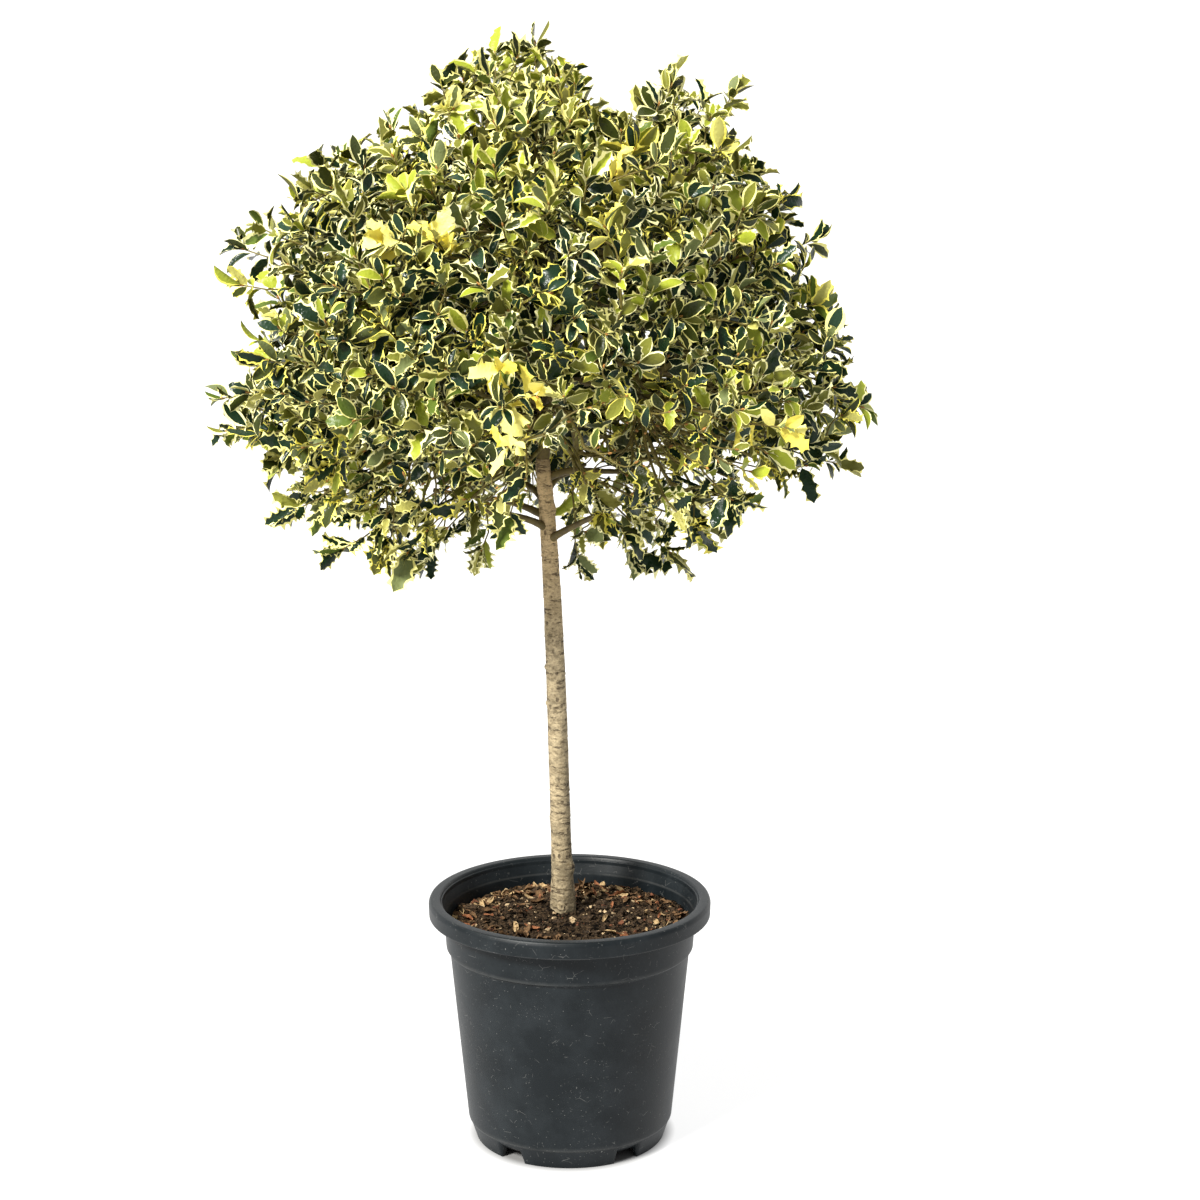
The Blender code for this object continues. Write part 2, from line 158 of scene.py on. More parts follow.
class HollyLimbSettings(bpy.types.PropertyGroup):
    """Growth of boughs, branches and shoots"""

    seed: whole_number("Seed", "Start of every random choice in the crown", 11)
    shoots: whole_number("Shoots", "Most shoots in the crown", 1500)
    leading: whole_number("Leading shoots", "Shoots that grow first, as long limbs", 240)
    core: size("Core", "How far from the crown's middle the long limbs start at most", 0.20)
    fork: size("Fork", "Height from which the long limbs seem to spread", 1.020)
    low_share: share("Long low limbs", "Share of the shoots beside the fork that are long limbs", 0.45)
    spacing: size("Spacing", "Least distance between two shoot tips", 0.0405)
    edge: size("Edge", "How far the other shoots stay inside the crown's outline", 0.023)
    inset: size("Inset", "How far the outermost tips stay inside the crown's surface", 0.024)
    depth: size("Depth", "How far in from the surface the innermost tips are", 0.175)
    twig_radius: size("Twig radius", "Radius of a shoot at its tip", 0.0010)
    gather: share("Gather", "Power that adds up the wood where branches join", 2.35)
    old_colour: tint("Old wood", "Bark of the boughs", (0.125, 0.092, 0.022))
    old_marks: tint("Old wood's marks", "Lenticels and streaks on the boughs", (0.060, 0.042, 0.020))
    young_colour: tint("Young wood", "Bark of branches and shoots", (0.180, 0.145, 0.030))
    young_marks: tint("Young wood's marks", "Lenticels and streaks on the shoots", (0.058, 0.040, 0.014))
    bud_colour: tint("Bud", "Winter buds", (0.42, 0.20, 0.045))
    bud_marks: tint("Bud's marks", "Edges of the bud scales", (0.17, 0.075, 0.020))


class HollyLeafSettings(bpy.types.PropertyGroup):
    """Size and set of the leaves"""

    length: size("Length", "Mean length of a leaf with its stalk", 0.0335)
    width: share("Width", "Width of a leaf over its length", 0.50)
    margin: share("Margin", "Share of the half width that is cream", 0.192)
    rosette: whole_number("Rosette", "Leaves crowded at the end of a shoot", 7)
    lower: whole_number("Lower leaves", "Leaves spaced down the shoot", 7)
    fold: rotation("Fold", "Upward fold of each half along the midrib", 26)
    curl: rotation("Curl", "Downward bend from foot to tip", 30)


class HollyStageSettings(bpy.types.PropertyGroup):
    """Camera, light and floor"""

    lens: share("Lens", "Focal length in millimetres", 78.0, "CAMERA")
    sensor: share("Sensor", "Width of the camera's sensor in millimetres", 36.0, "CAMERA")
    camera_x: size("Camera X", "Camera position across", 0.043)
    camera_y: size("Camera Y", "Camera position in depth", -3.52)
    camera_z: size("Camera height", "Height of the camera", 1.54)
    pitch: rotation("Pitch", "How far the camera looks down", 12.13)
    floor_size: size("Floor size", "Half side of the floor", 14.0)
    floor_sweep: size("Floor sweep", "Radius of the curve between floor and wall", 2.0)
    floor_back: size("Floor back", "Where the curve starts, behind the plant", 4.0)
    floor_colour: tint("Floor colour", "Plain pale floor", (0.20, 0.20, 0.20))
    # Where the floor gives no light, under and just round the pot, it shows as a painted contact shadow
    glow: share("Glow", "Light that the floor gives by itself, apart from under the pot", 0.86)
    ambient: share("Ambient", "Strength of the even light from all round", 0.545)
    key: share("Key", "Strength of the soft light from the top left", 7.9)
    key_angle: rotation("Key angle", "How wide the soft light seems from the plant", 14)
    key_colour: tint("Key colour", "Slightly warm light", (1.0, 0.98, 0.93))


SETTINGS = {
    "holly_pot": HollyPotSettings,
    "holly_compost": HollyCompostSettings,
    "holly_trunk": HollyTrunkSettings,
    "holly_limbs": HollyLimbSettings,
    "holly_leaves": HollyLeafSettings,
    "holly_stage": HollyStageSettings,
}


# Numbers and noise

# Larger than any distance inside the crown, in metres
FAR = 9.0

# Large odd numbers that scatter the corners of the noise's lattice over the whole numbers
CORNER_STEPS = np.array((73856093, 19349663, 83492791))
SEED_STEP = 374761393
MIXING_STEP = 1274126177


def lengths(vectors):
    """The length of each vector."""
    return np.linalg.norm(vectors, axis=-1)


def unit(vectors):
    """Each vector over its own length."""
    return vectors / np.maximum(lengths(vectors), 1e-12)[..., None]


def dot(first, second):
    """The products of two arrays of vectors, kept as a last axis of one."""
    return np.sum(first * second, axis=-1, keepdims=True)


def value_noise(points, seed=0):
    """Smooth noise from -1 to 1: a random value on each corner of a unit lattice, blended between them."""
    cell = np.floor(points).astype(np.int64)
    part = smooth_step(points - cell, 0, 1)
    total = np.zeros(points.shape[:-1])
    for corner in product((0, 1), repeat=3):
        mixed = (cell + corner) @ CORNER_STEPS + seed * SEED_STEP
        mixed = (mixed ^ (mixed >> 13)) * MIXING_STEP
        value = ((mixed ^ (mixed >> 16)) & 0xFFFF) / 32767.5 - 1
        total += value * np.prod(np.where(corner, part, 1 - part), axis=-1)
    return total


def rough_noise(points, octaves, seed=0):
    """Value noise with finer and finer copies added, each half as strong as the one before."""
    layers = [value_noise(points * 2**i, seed + i) / 2**i for i in range(octaves)]
    return sum(layers) / (2 - 2.0 ** (1 - octaves))


def smooth_step(values, start, end):
    """0 up to start, 1 beyond end, and an S curve between them. Either may be the larger one."""
    part = np.clip((values - start) / (end - start), 0, 1)
    return part * part * (3 - 2 * part)


def even_turns(count):
    """Angles at even steps all the way round."""
    return np.arange(count) * 2 * pi / count


def turned(radius, angles, heights):
    """Points at a radius and an angle round the upright axis, for arrays of shapes that fit together."""
    return np.stack(np.broadcast_arrays(radius * np.cos(angles), radius * np.sin(angles), heights), axis=-1)


def least_axis(directions):
    """The axis that each direction leans along the least."""
    return np.eye(3)[np.argmin(np.abs(directions), axis=-1)]


def smooth_line(points, count):
    """Points spread evenly along a Catmull-Rom curve: cubic pieces whose slope at each given point is
    that between its two neighbours."""
    ends = np.concatenate((2 * points[:1] - points[1:2], points, 2 * points[-1:] - points[-2:-1]))
    slope = (ends[2:] - ends[:-2]) / 2
    place = np.linspace(0, len(points) - 1, 12 * len(points))
    first = np.minimum(place.astype(int), len(points) - 2)
    t = (place - first)[:, None]
    made = (
        points[first] * (2 * t**3 - 3 * t**2 + 1)
        + slope[first] * (t**3 - 2 * t**2 + t)
        + points[first + 1] * (3 * t**2 - 2 * t**3)
        + slope[first + 1] * (t**3 - t**2)
    )
    run = np.concatenate(([0], np.cumsum(lengths(np.diff(made, axis=0)))))
    even = np.linspace(0, run[-1], count)
    return np.stack([np.interp(even, run, axis) for axis in made.T], axis=1)


# Meshes

def new_piece(name, points, faces, materials, picks=None, smooth=True):
    """A mesh object at the origin, from an array of points and arrays of faces with equal corner counts.

    picks gives each face its material, as a place in materials.
    """
    corners = np.concatenate([group.ravel() for group in faces])
    counts = np.concatenate([np.full(len(group), group.shape[1]) for group in faces])
    mesh = bpy.data.meshes.new(name)
    mesh.vertices.add(len(points))
    mesh.vertices.foreach_set("co", np.asarray(points, np.float32).ravel())
    mesh.loops.add(len(corners))
    mesh.loops.foreach_set("vertex_index", corners.astype(np.int32))
    mesh.polygons.add(len(counts))
    mesh.polygons.foreach_set("loop_start", (np.cumsum(counts) - counts).astype(np.int32))
    for material in materials:
        mesh.materials.append(material)
    if picks is not None:
        mesh.polygons.foreach_set("material_index", picks.astype(np.int32))
    mesh.polygons.foreach_set("use_smooth", np.full(len(counts), smooth))
    mesh.update(calc_edges=True)
    made = bpy.data.objects.new(name, mesh)
    bpy.context.scene.collection.objects.link(made)
    return made


def grid_faces(rows, columns, inward=False):
    """Quads between the points of a grid that is stored row by row and closed from column to column."""
    step = np.arange(columns)
    first = np.arange(rows - 1)[:, None] * columns
    here, after = first + step, first + (step + 1) % columns
    corners = [here, after, after + columns, here + columns]
    if inward:
        corners = [here, here + columns, after + columns, after]
    return np.stack(corners, axis=-1).reshape(-1, 4)


def closed_grid(rows, columns, inward=False):
    """The quads of a grid, and the two flat caps that close its first row and its last."""
    step = np.arange(columns)
    caps = np.stack((step[::-1], step + (rows - 1) * columns))
    return [grid_faces(rows, columns, inward), caps[:, ::-1] if inward else caps]


def repeated(faces, count, step):
    """The faces of one thing over again for each of its copies, with step points to each."""
    first = (np.arange(count) * step)[:, None, None]
    return (faces + first).reshape(-1, faces.shape[-1])


def tubes(lines, radii, sides):
    """Tubes along many lines at once: a ring of points round each line point, square to the line, with
    a flat cap at both ends. lines is an array of lines by points by 3, and radii of lines by points."""
    count, steps = radii.shape
    heading = unit(np.gradient(lines, axis=1))
    helper = least_axis(unit(lines[:, -1] - lines[:, 0]))[:, None]
    side = unit(np.cross(heading, helper))
    other = np.cross(heading, side)
    turn = even_turns(sides)
    ring = side[:, :, None] * np.cos(turn)[:, None] + other[:, :, None] * np.sin(turn)[:, None]
    points = lines[:, :, None] + ring * radii[..., None, None]
    walls, caps = closed_grid(steps, sides)
    faces = [repeated(group, count, steps * sides) for group in (walls, caps[:1], caps[1:])]
    return points.reshape(-1, 3), faces


def joined(parts):
    """Several sets of points and face arrays as one set, with the faces numbered on."""
    points, faces, first = [], [], 0
    for part_points, part_faces in parts:
        points.append(part_points)
        faces += [group + first for group in part_faces]
        first += len(part_points)
    return np.concatenate(points), faces


def as_root_piece(piece, slot, *nodes):
    """Lets a piece ride on the only body and stand for its nodes, which it hides. The slot is not used."""
    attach(piece, "root")
    if nodes:
        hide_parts(*nodes)


# Materials

# Places of the sockets that the Mix node has for colours
MIX_FACTOR, MIX_FIRST, MIX_SECOND, MIX_RESULT = 0, 6, 7, 2


class Signal:
    """A socket inside a material: arithmetic on it adds the Math nodes that do the sum."""

    def __init__(self, finish, socket):
        self.finish = finish
        self.socket = socket

    def maths(self, operation, first, second=0.0):
        return self.finish.node("ShaderNodeMath", {"operation": operation}, {0: first, 1: second})

    def __add__(self, other):
        return self.maths("ADD", self, other)

    def __sub__(self, other):
        return self.maths("SUBTRACT", self, other)

    def __mul__(self, other):
        return self.maths("MULTIPLY", self, other)

    def __rsub__(self, other):
        return self.maths("SUBTRACT", other, self)

    __radd__ = __add__
    __rmul__ = __mul__

    def above(self, low, high):
        """0 where the value is below low and 1 where it is above high, straight between them."""
        stops = [(low, (0, 0, 0, 1)), (high, (1, 1, 1, 1))]
        return self.finish.node("ShaderNodeValToRGB", {"stops": stops}, {"Fac": self})


class Finish:
    """A material while it is made, with one shader and the nodes that feed it."""

    def __init__(self, name, colour, roughness):
        self.material = bpy.data.materials.new(name)
        self.material.use_nodes = True
        self.tree = self.material.node_tree
        self.shader = self.tree.nodes["Principled BSDF"]
        self.set("Base Color", (*colour, 1.0))
        self.set("Roughness", roughness)

    def feed(self, socket, value):
        """Gives any socket a value or a link."""
        if isinstance(value, Signal):
            self.tree.links.new(value.socket, socket)
        else:
            socket.default_value = value

    def set(self, name, value):
        """Gives one of the shader's sockets a value or a link."""
        self.feed(self.shader.inputs[name], value)

    def node(self, kind, settings=None, sockets=None, output=0):
        """Adds a node: first its settings, then its sockets' values or links. Gives one of its outputs."""
        made = self.tree.nodes.new(kind)
        for name, value in (settings or {}).items():
            if name == "stops":
                for stop, (place, colour) in zip(made.color_ramp.elements, value):
                    stop.position = place
                    stop.color = colour
            else:
                setattr(made, name, value)
        for name, value in (sockets or {}).items():
            self.feed(made.inputs[name], value)
        return Signal(self, made.outputs[output])

    def place(self, stretch=(1, 1, 1)):
        """Object coordinates, stretched along each axis."""
        coordinates = self.node("ShaderNodeTexCoord", output="Object")
        return self.node("ShaderNodeMapping", None, {"Vector": coordinates, "Scale": stretch})

    def height(self):
        """The height above the ground in metres."""
        return self.node("ShaderNodeSeparateXYZ", None, {"Vector": self.place()}, "Z")

    def band(self, level, half):
        """1 at a height above the ground, falling to 0 within half a band's width of it."""
        height = self.height()
        return height.above(level - half, level) * (1 - height.above(level, level + half))

    def noise(self, scale, detail=2.0, roughness=0.5, stretch=(1, 1, 1)):
        """Cloudy noise, mostly between 0.3 and 0.7, with about scale clouds to the metre."""
        sockets = {"Vector": self.place(stretch), "Scale": scale, "Detail": detail, "Roughness": roughness}
        return self.node("ShaderNodeTexNoise", None, sockets, "Fac")

    def spots(self, scale, radius, stretch=(1, 1, 1)):
        """1 on round spots of a radius given as a share of their spacing, fading out towards their rims,
        and 0 between them."""
        sockets = {"Vector": self.place(stretch), "Scale": scale}
        distance = self.node("ShaderNodeTexVoronoi", None, sockets, "Distance")
        return 1 - distance.above(radius * 0.6, radius)

    def hairs(self, scale, width):
        """1 on thin crooked lines, the borders between cells, whose width is a share of the cells'."""
        sockets = {"Vector": self.place(), "Scale": scale}
        settings = {"feature": "DISTANCE_TO_EDGE"}
        distance = self.node("ShaderNodeTexVoronoi", settings, sockets, "Distance")
        return 1 - distance.above(width * 0.4, width)

    def mix(self, factor, first, second):
        """The second colour laid over the first where the factor is 1."""
        first, second = (c if isinstance(c, Signal) else (*c, 1.0) for c in (first, second))
        sockets = {MIX_FACTOR: factor, MIX_FIRST: first, MIX_SECOND: second}
        return self.node("ShaderNodeMix", {"data_type": "RGBA"}, sockets, MIX_RESULT)

    def bump(self, height, distance, strength=1.0):
        """Bends the shading as if the surface rose by distance where height is 1."""
        sockets = {"Height": height, "Distance": distance, "Strength": strength}
        self.set("Normal", self.node("ShaderNodeBump", None, sockets, "Normal"))


def plastic_finish(pot):
    """Matte moulded plastic: cloudy where it has faded, with crumbs and flecks of dust, hair scratches,
    and pale lines along the corners of collar, rim and foot ring, which are partly wear and partly painted
    highlight."""
    made = Finish("holly pot plastic", pot.colour, 0.5)
    clouds = made.noise(17, 5, 0.65)
    by_foot = 1 - made.height().above(pot.foot_height * 0.8, pot.foot_height * 1.4)
    dusty = made.noise(21, 3, 0.6).above(0.52, 0.60) + by_foot * made.noise(14, 2).above(0.48, 0.56)
    crumbs = made.noise(430, 3, 0.65).above(0.65, 0.71) * dusty
    # Pale lines along these corners: partly wear, partly painted highlight where the edges catch the light
    corners = (pot.foot_height, pot.collar_foot, pot.height - pot.rim_depth)
    over_corner, half_width = 0.0014, 0.0010
    edges = sum(made.band(corner + over_corner, half_width) for corner in corners)
    edges = edges * made.noise(26, 3, 0.6).above(0.26, 0.50)
    flecks = made.spots(120, 0.085)
    scratches = made.hairs(64, 0.016) * made.noise(48, 2, 0.5, (1, 1, 2)).above(0.60, 0.66)
    colour = made.mix(clouds.above(0.42, 0.68) * 0.8, pot.colour, pot.worn_colour)
    marks = crumbs * 0.55 + flecks * 0.45 + scratches * 0.38 + edges * 0.36
    made.set("Base Color", made.mix(marks, colour, pot.dust_and_highlight_colour))
    made.set("Roughness", clouds * 0.22 + 0.34 + marks * 0.3)
    made.set("Specular IOR Level", 0.21)
    made.bump(made.noise(420, 2, 0.6) + scratches * 0.6, 0.0003, 0.35)
    return made.material


def compost_finish(compost):
    """Crumbly compost: near black in the hollows, partly damp compost and partly painted shade between the
    lumps, drier and paler on the lumps, with pale grains.
    """
    made = Finish("holly compost", compost.dark, 0.95)
    lumps = made.noise(120, 6, 0.7)
    grains = made.spots(260, 0.22)
    # Painted shade: the hollows between the lumps get the near-black dark colour
    colour = made.mix(lumps.above(0.46, 0.62), compost.dark, compost.light)
    made.set("Base Color", made.mix(grains * 0.45, colour, compost.grain))
    made.set("Roughness", 1.0 - lumps * 0.15)
    made.set("Specular IOR Level", 0.05)
    made.bump(lumps + grains * 0.3, 0.006, 1.0)
    return made.material


def litter_finish(name, dark, light):
    """Dead bark or leaf: two tones of one brown in fine streaks, dull and slightly rough."""
    made = Finish(name, light, 0.85)
    streaks = made.noise(330, 4, 0.7)
    made.set("Base Color", made.mix(streaks.above(0.38, 0.66), dark, light))
    made.set("Roughness", 0.95 - streaks * 0.25)
    made.set("Specular IOR Level", 0.10)
    made.bump(streaks, 0.0008, 0.7)
    return made.material


def trunk_finish(trunk):
    """Pale bark under a grey film that is broken into blotches and heavier towards the foot, with streaks
    drawn out across the stem, mottles, dark lenticels and cracks. Higher up it is more brown and also
    lighter, which is painted light where the crown shades the trunk, and it is darkest at the fork, which
    is painted shade."""
    made = Finish("holly trunk bark", trunk.pale, 0.8)
    patches = made.noise(30, 5, 0.65)
    blotches = made.noise(120, 5, 0.75, (1, 1, 1.6))
    streaks = made.noise(70, 5, 0.75, (1, 1, 2.4))
    mottle = made.noise(230, 4, 0.7, (1, 1, 1.4)).above(0.50, 0.64)
    flecks = made.spots(95, 0.24, (1, 1, 0.55)) * made.noise(40, 2).above(0.44, 0.54)
    cracks = made.noise(40, 4, 0.7, (1, 1, 4)).above(0.575, 0.63)
    # Painted light: higher up the bark is mixed towards the lighter warm colour, where the crown's shadow
    # falls
    browner_and_painted_light = made.height().above(0.70, 0.98)
    # The bark's film is heavier, so the bark darker and greyer, towards the foot
    darker_towards_foot = 1 - made.height().above(0.38, 0.66)
    film = patches.above(0.42, 0.62) * 0.40 + blotches.above(0.44, 0.58) * 0.55 + darker_towards_foot * 0.36
    colour = made.mix(film, trunk.pale, trunk.grey)
    colour = made.mix(browner_and_painted_light * 0.80, colour, trunk.warm)
    colour = made.mix(streaks.above(0.48, 0.64) * 0.50 + mottle * 0.45, colour, trunk.streak)
    # Painted shade: the bark just under the fork is darkened where the crown shades it
    painted_shade_at_fork = made.height().above(0.940, 0.976)
    colour = made.mix(painted_shade_at_fork * 0.7, colour, trunk.shade)
    made.set("Base Color", made.mix(flecks * 0.75 + cracks * 0.75, colour, trunk.dark))
    made.set("Roughness", 0.70 + patches * 0.2)
    made.set("Specular IOR Level", 0.3)
    made.bump(streaks * 0.7 + blotches * 0.6 - flecks * 0.8 - cracks * 0.8, 0.0016, 0.9)
    return made.material


def wood_finish(name, colour, dark, scale):
    """Bark of limbs and shoots: darker lenticels and streaks along a smooth, faintly waxy skin."""
    made = Finish(name, colour, 0.6)
    streaks = made.noise(scale, 4, 0.65)
    flecks = made.spots(scale * 2.4, 0.22)
    made.set("Base Color", made.mix(streaks.above(0.40, 0.68) * 0.8 + flecks * 0.35, colour, dark))
    made.set("Roughness", 0.50 + streaks * 0.25)
    made.set("Specular IOR Level", 0.35)
    made.bump(streaks - flecks * 0.5, 0.0006, 0.6)
    return made.material


def leaf_finish(name, colour, roughness):
    """Waxy leaf: one plain colour, with a fine network of veins and uneven wax in the gloss."""
    made = Finish(f"holly {name}", colour, roughness)
    wax = made.noise(60, 2)
    veins = made.spots(210, 0.50)
    made.set("Roughness", wax * 0.22 + (roughness - 0.10))
    made.set("Specular IOR Level", 0.20)
    made.bump(veins + wax * 0.6, 0.0006, 0.45)
    return made.material


# Lines of the frame's limbs

# A bough's middle line: its points, how far below its foot it starts on the stem's middle line, and how
# much thicker its foot is than the frame's
BOUGH_POINTS = 41
BOUGH_DROP = 0.006
BOUGH_SWELL = 1.12


def node_points(name):
    """The separate points of a frame node's mesh."""
    mesh = NODES[name].data
    points = np.empty(len(mesh.vertices) * 3, np.float32)
    mesh.vertices.foreach_get("co", points)
    return np.unique(np.round(points.reshape(-1, 3).astype(float), 5), axis=0)


def ring_line(name, tip, gap=0.003):
    """Middle and radius of each ring of points along a round limb, from its foot to its tip.

    The points are sorted by their distance from the tip, and a new ring starts wherever that distance
    jumps. Rings with fewer points than the fullest one are what a cut has left, and are passed over.
    """
    points = node_points(name)
    away = lengths(points - tip)
    order = np.argsort(away)
    starts = np.flatnonzero(np.diff(away[order]) > gap) + 1
    rings = np.split(points[order], starts)
    full = max(len(ring) for ring in rings[:2])
    rings = [ring for ring in rings if len(ring) == full][::-1]
    middles = np.array([ring.mean(0) for ring in rings])
    radii = np.array([lengths(ring - ring.mean(0)).mean() for ring in rings])
    return middles, radii


@cache
def stem_line():
    """Middle line and radii of trunk and leader together, from the compost to the leader's tip."""
    parts = [ring_line(name, UP * FAR, 0.002) for name in ("trunk", "leader")]
    return tuple(np.concatenate(values) for values in zip(*parts))


def stem_at(height):
    """The point of the stem's middle line at a height."""
    line = stem_line()[0]
    return np.array([np.interp(height, line[:, 2], axis) for axis in line.T])


def end_middle(points, away):
    """The middle of the six points that are the least far away."""
    return points[np.argsort(away)[:6]].mean(0)


def bough_lines():
    """The middle line of each bough, from inside the stem out to its mass, with its two end radii."""
    made = []
    for name in sorted(NODES):
        if not name.startswith("bough"):
            continue
        mass = node_points(name.replace("bough", "foliage")).mean(0)
        points = node_points(name)
        tip = end_middle(points, lengths(points - mass))
        foot = end_middle(points, -lengths(points - tip))
        middles, radii = ring_line(name, tip)
        root = stem_at(foot[2] - BOUGH_DROP)
        line = smooth_line(np.concatenate(([root], middles)), BOUGH_POINTS)
        made.append((line, radii[0] * BOUGH_SWELL, radii[-1]))
    return made


# Growth of the crown

# Shoots that mark the crown's outline seen from the front, as X and Z of their outermost leaf tips
OUTLINE_SHOOTS = (
    (-0.044, 1.565), (-0.104, 1.550), (-0.175, 1.510), (-0.259, 1.447), (-0.356, 1.394), (-0.438, 1.305),
    (-0.477, 1.266), (-0.463, 1.225), (-0.452, 1.134), (-0.507, 1.051), (-0.487, 1.016), (-0.430, 0.945),
    (-0.394, 0.896), (-0.331, 0.832), (-0.214, 0.800), (-0.125, 0.836), (0.021, 0.796), (0.099, 0.812),
    (0.152, 0.830), (0.189, 0.852), (0.232, 0.886), (0.314, 0.942), (0.399, 0.952), (0.423, 1.051),
    (0.394, 1.168), (0.357, 1.287), (0.315, 1.345), (0.242, 1.490), (0.150, 1.507), (0.200, 1.480),
)

# Sprays without any green, as X and Z seen on the front of the crown
GOLDEN_SPRAYS = (
    (-0.044, 1.138), (-0.081, 1.165), (-0.042, 1.056), (-0.148, 1.283), (-0.203, 1.307), (-0.240, 1.307),
    (0.055, 1.368), (0.305, 1.078),
)
GOLDEN_ELSEWHERE = 9

# The crown's outline seen from the front without its single sprays, measured on the photograph: how far
# it reaches from its middle, at even steps all round from the right over the top
OUTLINE_MIDDLE = (-0.030, 1.170)
OUTLINE = (
    0.418, 0.389, 0.390, 0.382, 0.363, 0.389, 0.376, 0.380, 0.277, 0.333, 0.371, 0.378, 0.367, 0.324,
    0.345, 0.340, 0.388, 0.396, 0.417, 0.428, 0.378, 0.432, 0.461, 0.441, 0.449, 0.409, 0.420, 0.404,
    0.336, 0.310, 0.309, 0.351, 0.354, 0.375, 0.374, 0.387, 0.377, 0.468, 0.458, 0.427,
)

# The view of the fork from the front stays open from one X to the other, up to a height
WINDOW = (-0.056, 0.012, 0.998)

# Where the shoots are bare beside the fork: X and Z of the middle, half width and half height, and the
# share of the leaves that is missing there
BARE_PLACES = ((0.11, 0.990, 0.15, 0.085, 0.95), (-0.17, 0.935, 0.14, 0.055, 0.80))
MOST_BARE = 0.85

# The crown's middle lies on the leader at this height, half way up the belt
MIDDLE_HEIGHT = 1.15

# Rays that are sent out to find the crown's surface, the half angle of the cone round each, and the
# least distance at which what they meet counts
RAYS = 14000
RAYS_AT_ONCE = 400
RAY_CONE = radians(4.5)
LEAST_REACH = 0.20

# How far the shoots of the outline stand before and behind the crown's middle, in turn
OUTLINE_DEPTH = 0.07


def crown_middle():
    """The point that the crown reaches out from."""
    return stem_at(MIDDLE_HEIGHT)


def mass_points():
    """The points of every foliage mass, and for each of them its mass's place in the list of names."""
    names = [name for name in sorted(NODES) if name.startswith("foliage")]
    clouds = [node_points(name) for name in names]
    owners = np.repeat(np.arange(len(names)), [len(cloud) for cloud in clouds])
    return names, np.concatenate(clouds), owners


def crown_reach(rays, cloud):
    """How far the foliage reaches from the crown's middle along each ray: the furthest point of any mass
    within a narrow cone round the ray, or 0 where there is none."""
    away = (cloud - crown_middle()).astype(np.float32)
    distance = lengths(away)
    ways = away / distance[:, None]
    reach = [
        np.max(np.where(part @ ways.T > cos(RAY_CONE), distance, 0), axis=1)
        for part in np.array_split(rays.astype(np.float32), max(len(rays) // RAYS_AT_ONCE, 1))
    ]
    return np.concatenate(reach)


def seen_places(points):
    """Where points seem to be from the camera, on the upright plane through the crown's middle."""
    stage = bpy.context.scene.holly_stage
    eye = np.array((stage.camera_x, stage.camera_y, stage.camera_z))
    share_of_way = (crown_middle()[1] - eye[1]) / (points[:, 1] - eye[1])
    return (eye + (points - eye) * share_of_way[:, None])[:, (0, 2)]


def in_window(points):
    """True where a point would hide the fork from the front."""
    across, up = seen_places(points).T
    left, right, top = WINDOW
    return (across > left) & (across < right) & (up < top) & (points[:, 1] < crown_middle()[1])


def in_outline(points, edge):
    """True where a point seems to be inside the crown's outline by at least the edge."""
    across, up = (seen_places(points) - OUTLINE_MIDDLE).T
    outline = np.interp(np.arctan2(up, across), even_turns(len(OUTLINE)), OUTLINE, period=2 * pi)
    return np.hypot(across, up) < outline - edge


def openness(points):
    """Share of the shoots that are missing: more of them low in the crown, and everywhere some hollows
    between the clumps."""
    low = smooth_step(seen_places(points)[:, 1], 1.03, 0.86)
    hollow = smooth_step(value_noise(points * 11, 7), 0.0, 0.6)
    return 0.84 * low + 0.22 * hollow


def bareness(points):
    """Share of the leaves that are missing where the shoots are bare: round spots with soft rims beside
    the fork, which on the far side of the crown only show low down."""
    across, up = seen_places(points).T
    bare = 0
    for x, z, wide, high, missing in BARE_PLACES:
        bare = bare + missing * np.exp(-(((across - x) / wide) ** 2) - ((up - z) / high) ** 2)
    behind = 0.80 * smooth_step(up, 1.04, 0.96)
    shown = np.where(points[:, 1] < crown_middle()[1] + 0.05, 1.0, behind)
    return shown * np.minimum(bare, MOST_BARE)


def spread_out(places, least, most):
    """Keeps each place that is further than least from all that were kept before it, up to most."""
    kept = places[:1]
    for place in places[1:]:
        if np.min(lengths(kept - place)) > least:
            kept = np.concatenate((kept, [place]))
        if len(kept) == most:
            break
    return kept


def shoot_tips(limbs, rng):
    """Where shoots end: first those on the outline, then random places in a shell inside the crown's
    surface, closer together towards it, where the crown isn't open."""
    middle = crown_middle()
    depths = [middle[1] + OUTLINE_DEPTH * sin(2.4 * i) for i in range(len(OUTLINE_SHOOTS))]
    outline = np.array([(x, y, z) for (x, z), y in zip(OUTLINE_SHOOTS, depths)])
    marked = outline - unit(outline - middle) * limbs.inset * 1.2
    rays = unit(rng.normal(size=(RAYS, 3)))
    reach = crown_reach(rays, mass_points()[1])
    depth = limbs.inset + (limbs.depth - limbs.inset) * rng.random(len(rays)) ** 1.5
    met = np.flatnonzero(reach > LEAST_REACH)
    relief = 0.016 * value_noise(rays[met] * 4.5, 3)
    tips = middle + rays[met] * (reach[met] - depth[met] + relief)[:, None]
    wanted = ~in_window(tips) & in_outline(tips, limbs.edge)
    tips = tips[wanted & (rng.random(len(tips)) > openness(tips))]
    return spread_out(np.concatenate((marked, tips)), limbs.spacing, limbs.shoots)


# Points along each shoot, and how many of its last ones no other shoot starts from
SHOOT_POINTS = 9
SHOOT_END = 2

# What joining costs for each metre between a shoot's tip and the wood, and how much less where the wood
# points at the tip and where the wood lies straight behind it
JOIN_COST, POINTING_GAIN, BEHIND_GAIN = 2.3, 0.7, 0.6
SHORTEST_SHOOT = 0.012

# How far a shoot's curve keeps its two headings, and how far it strays from its way, over its length
PULL = 0.38
CROOK = 0.05

# The distance from its tip at which a shoot's own radius has doubled
DOUBLING = 0.22


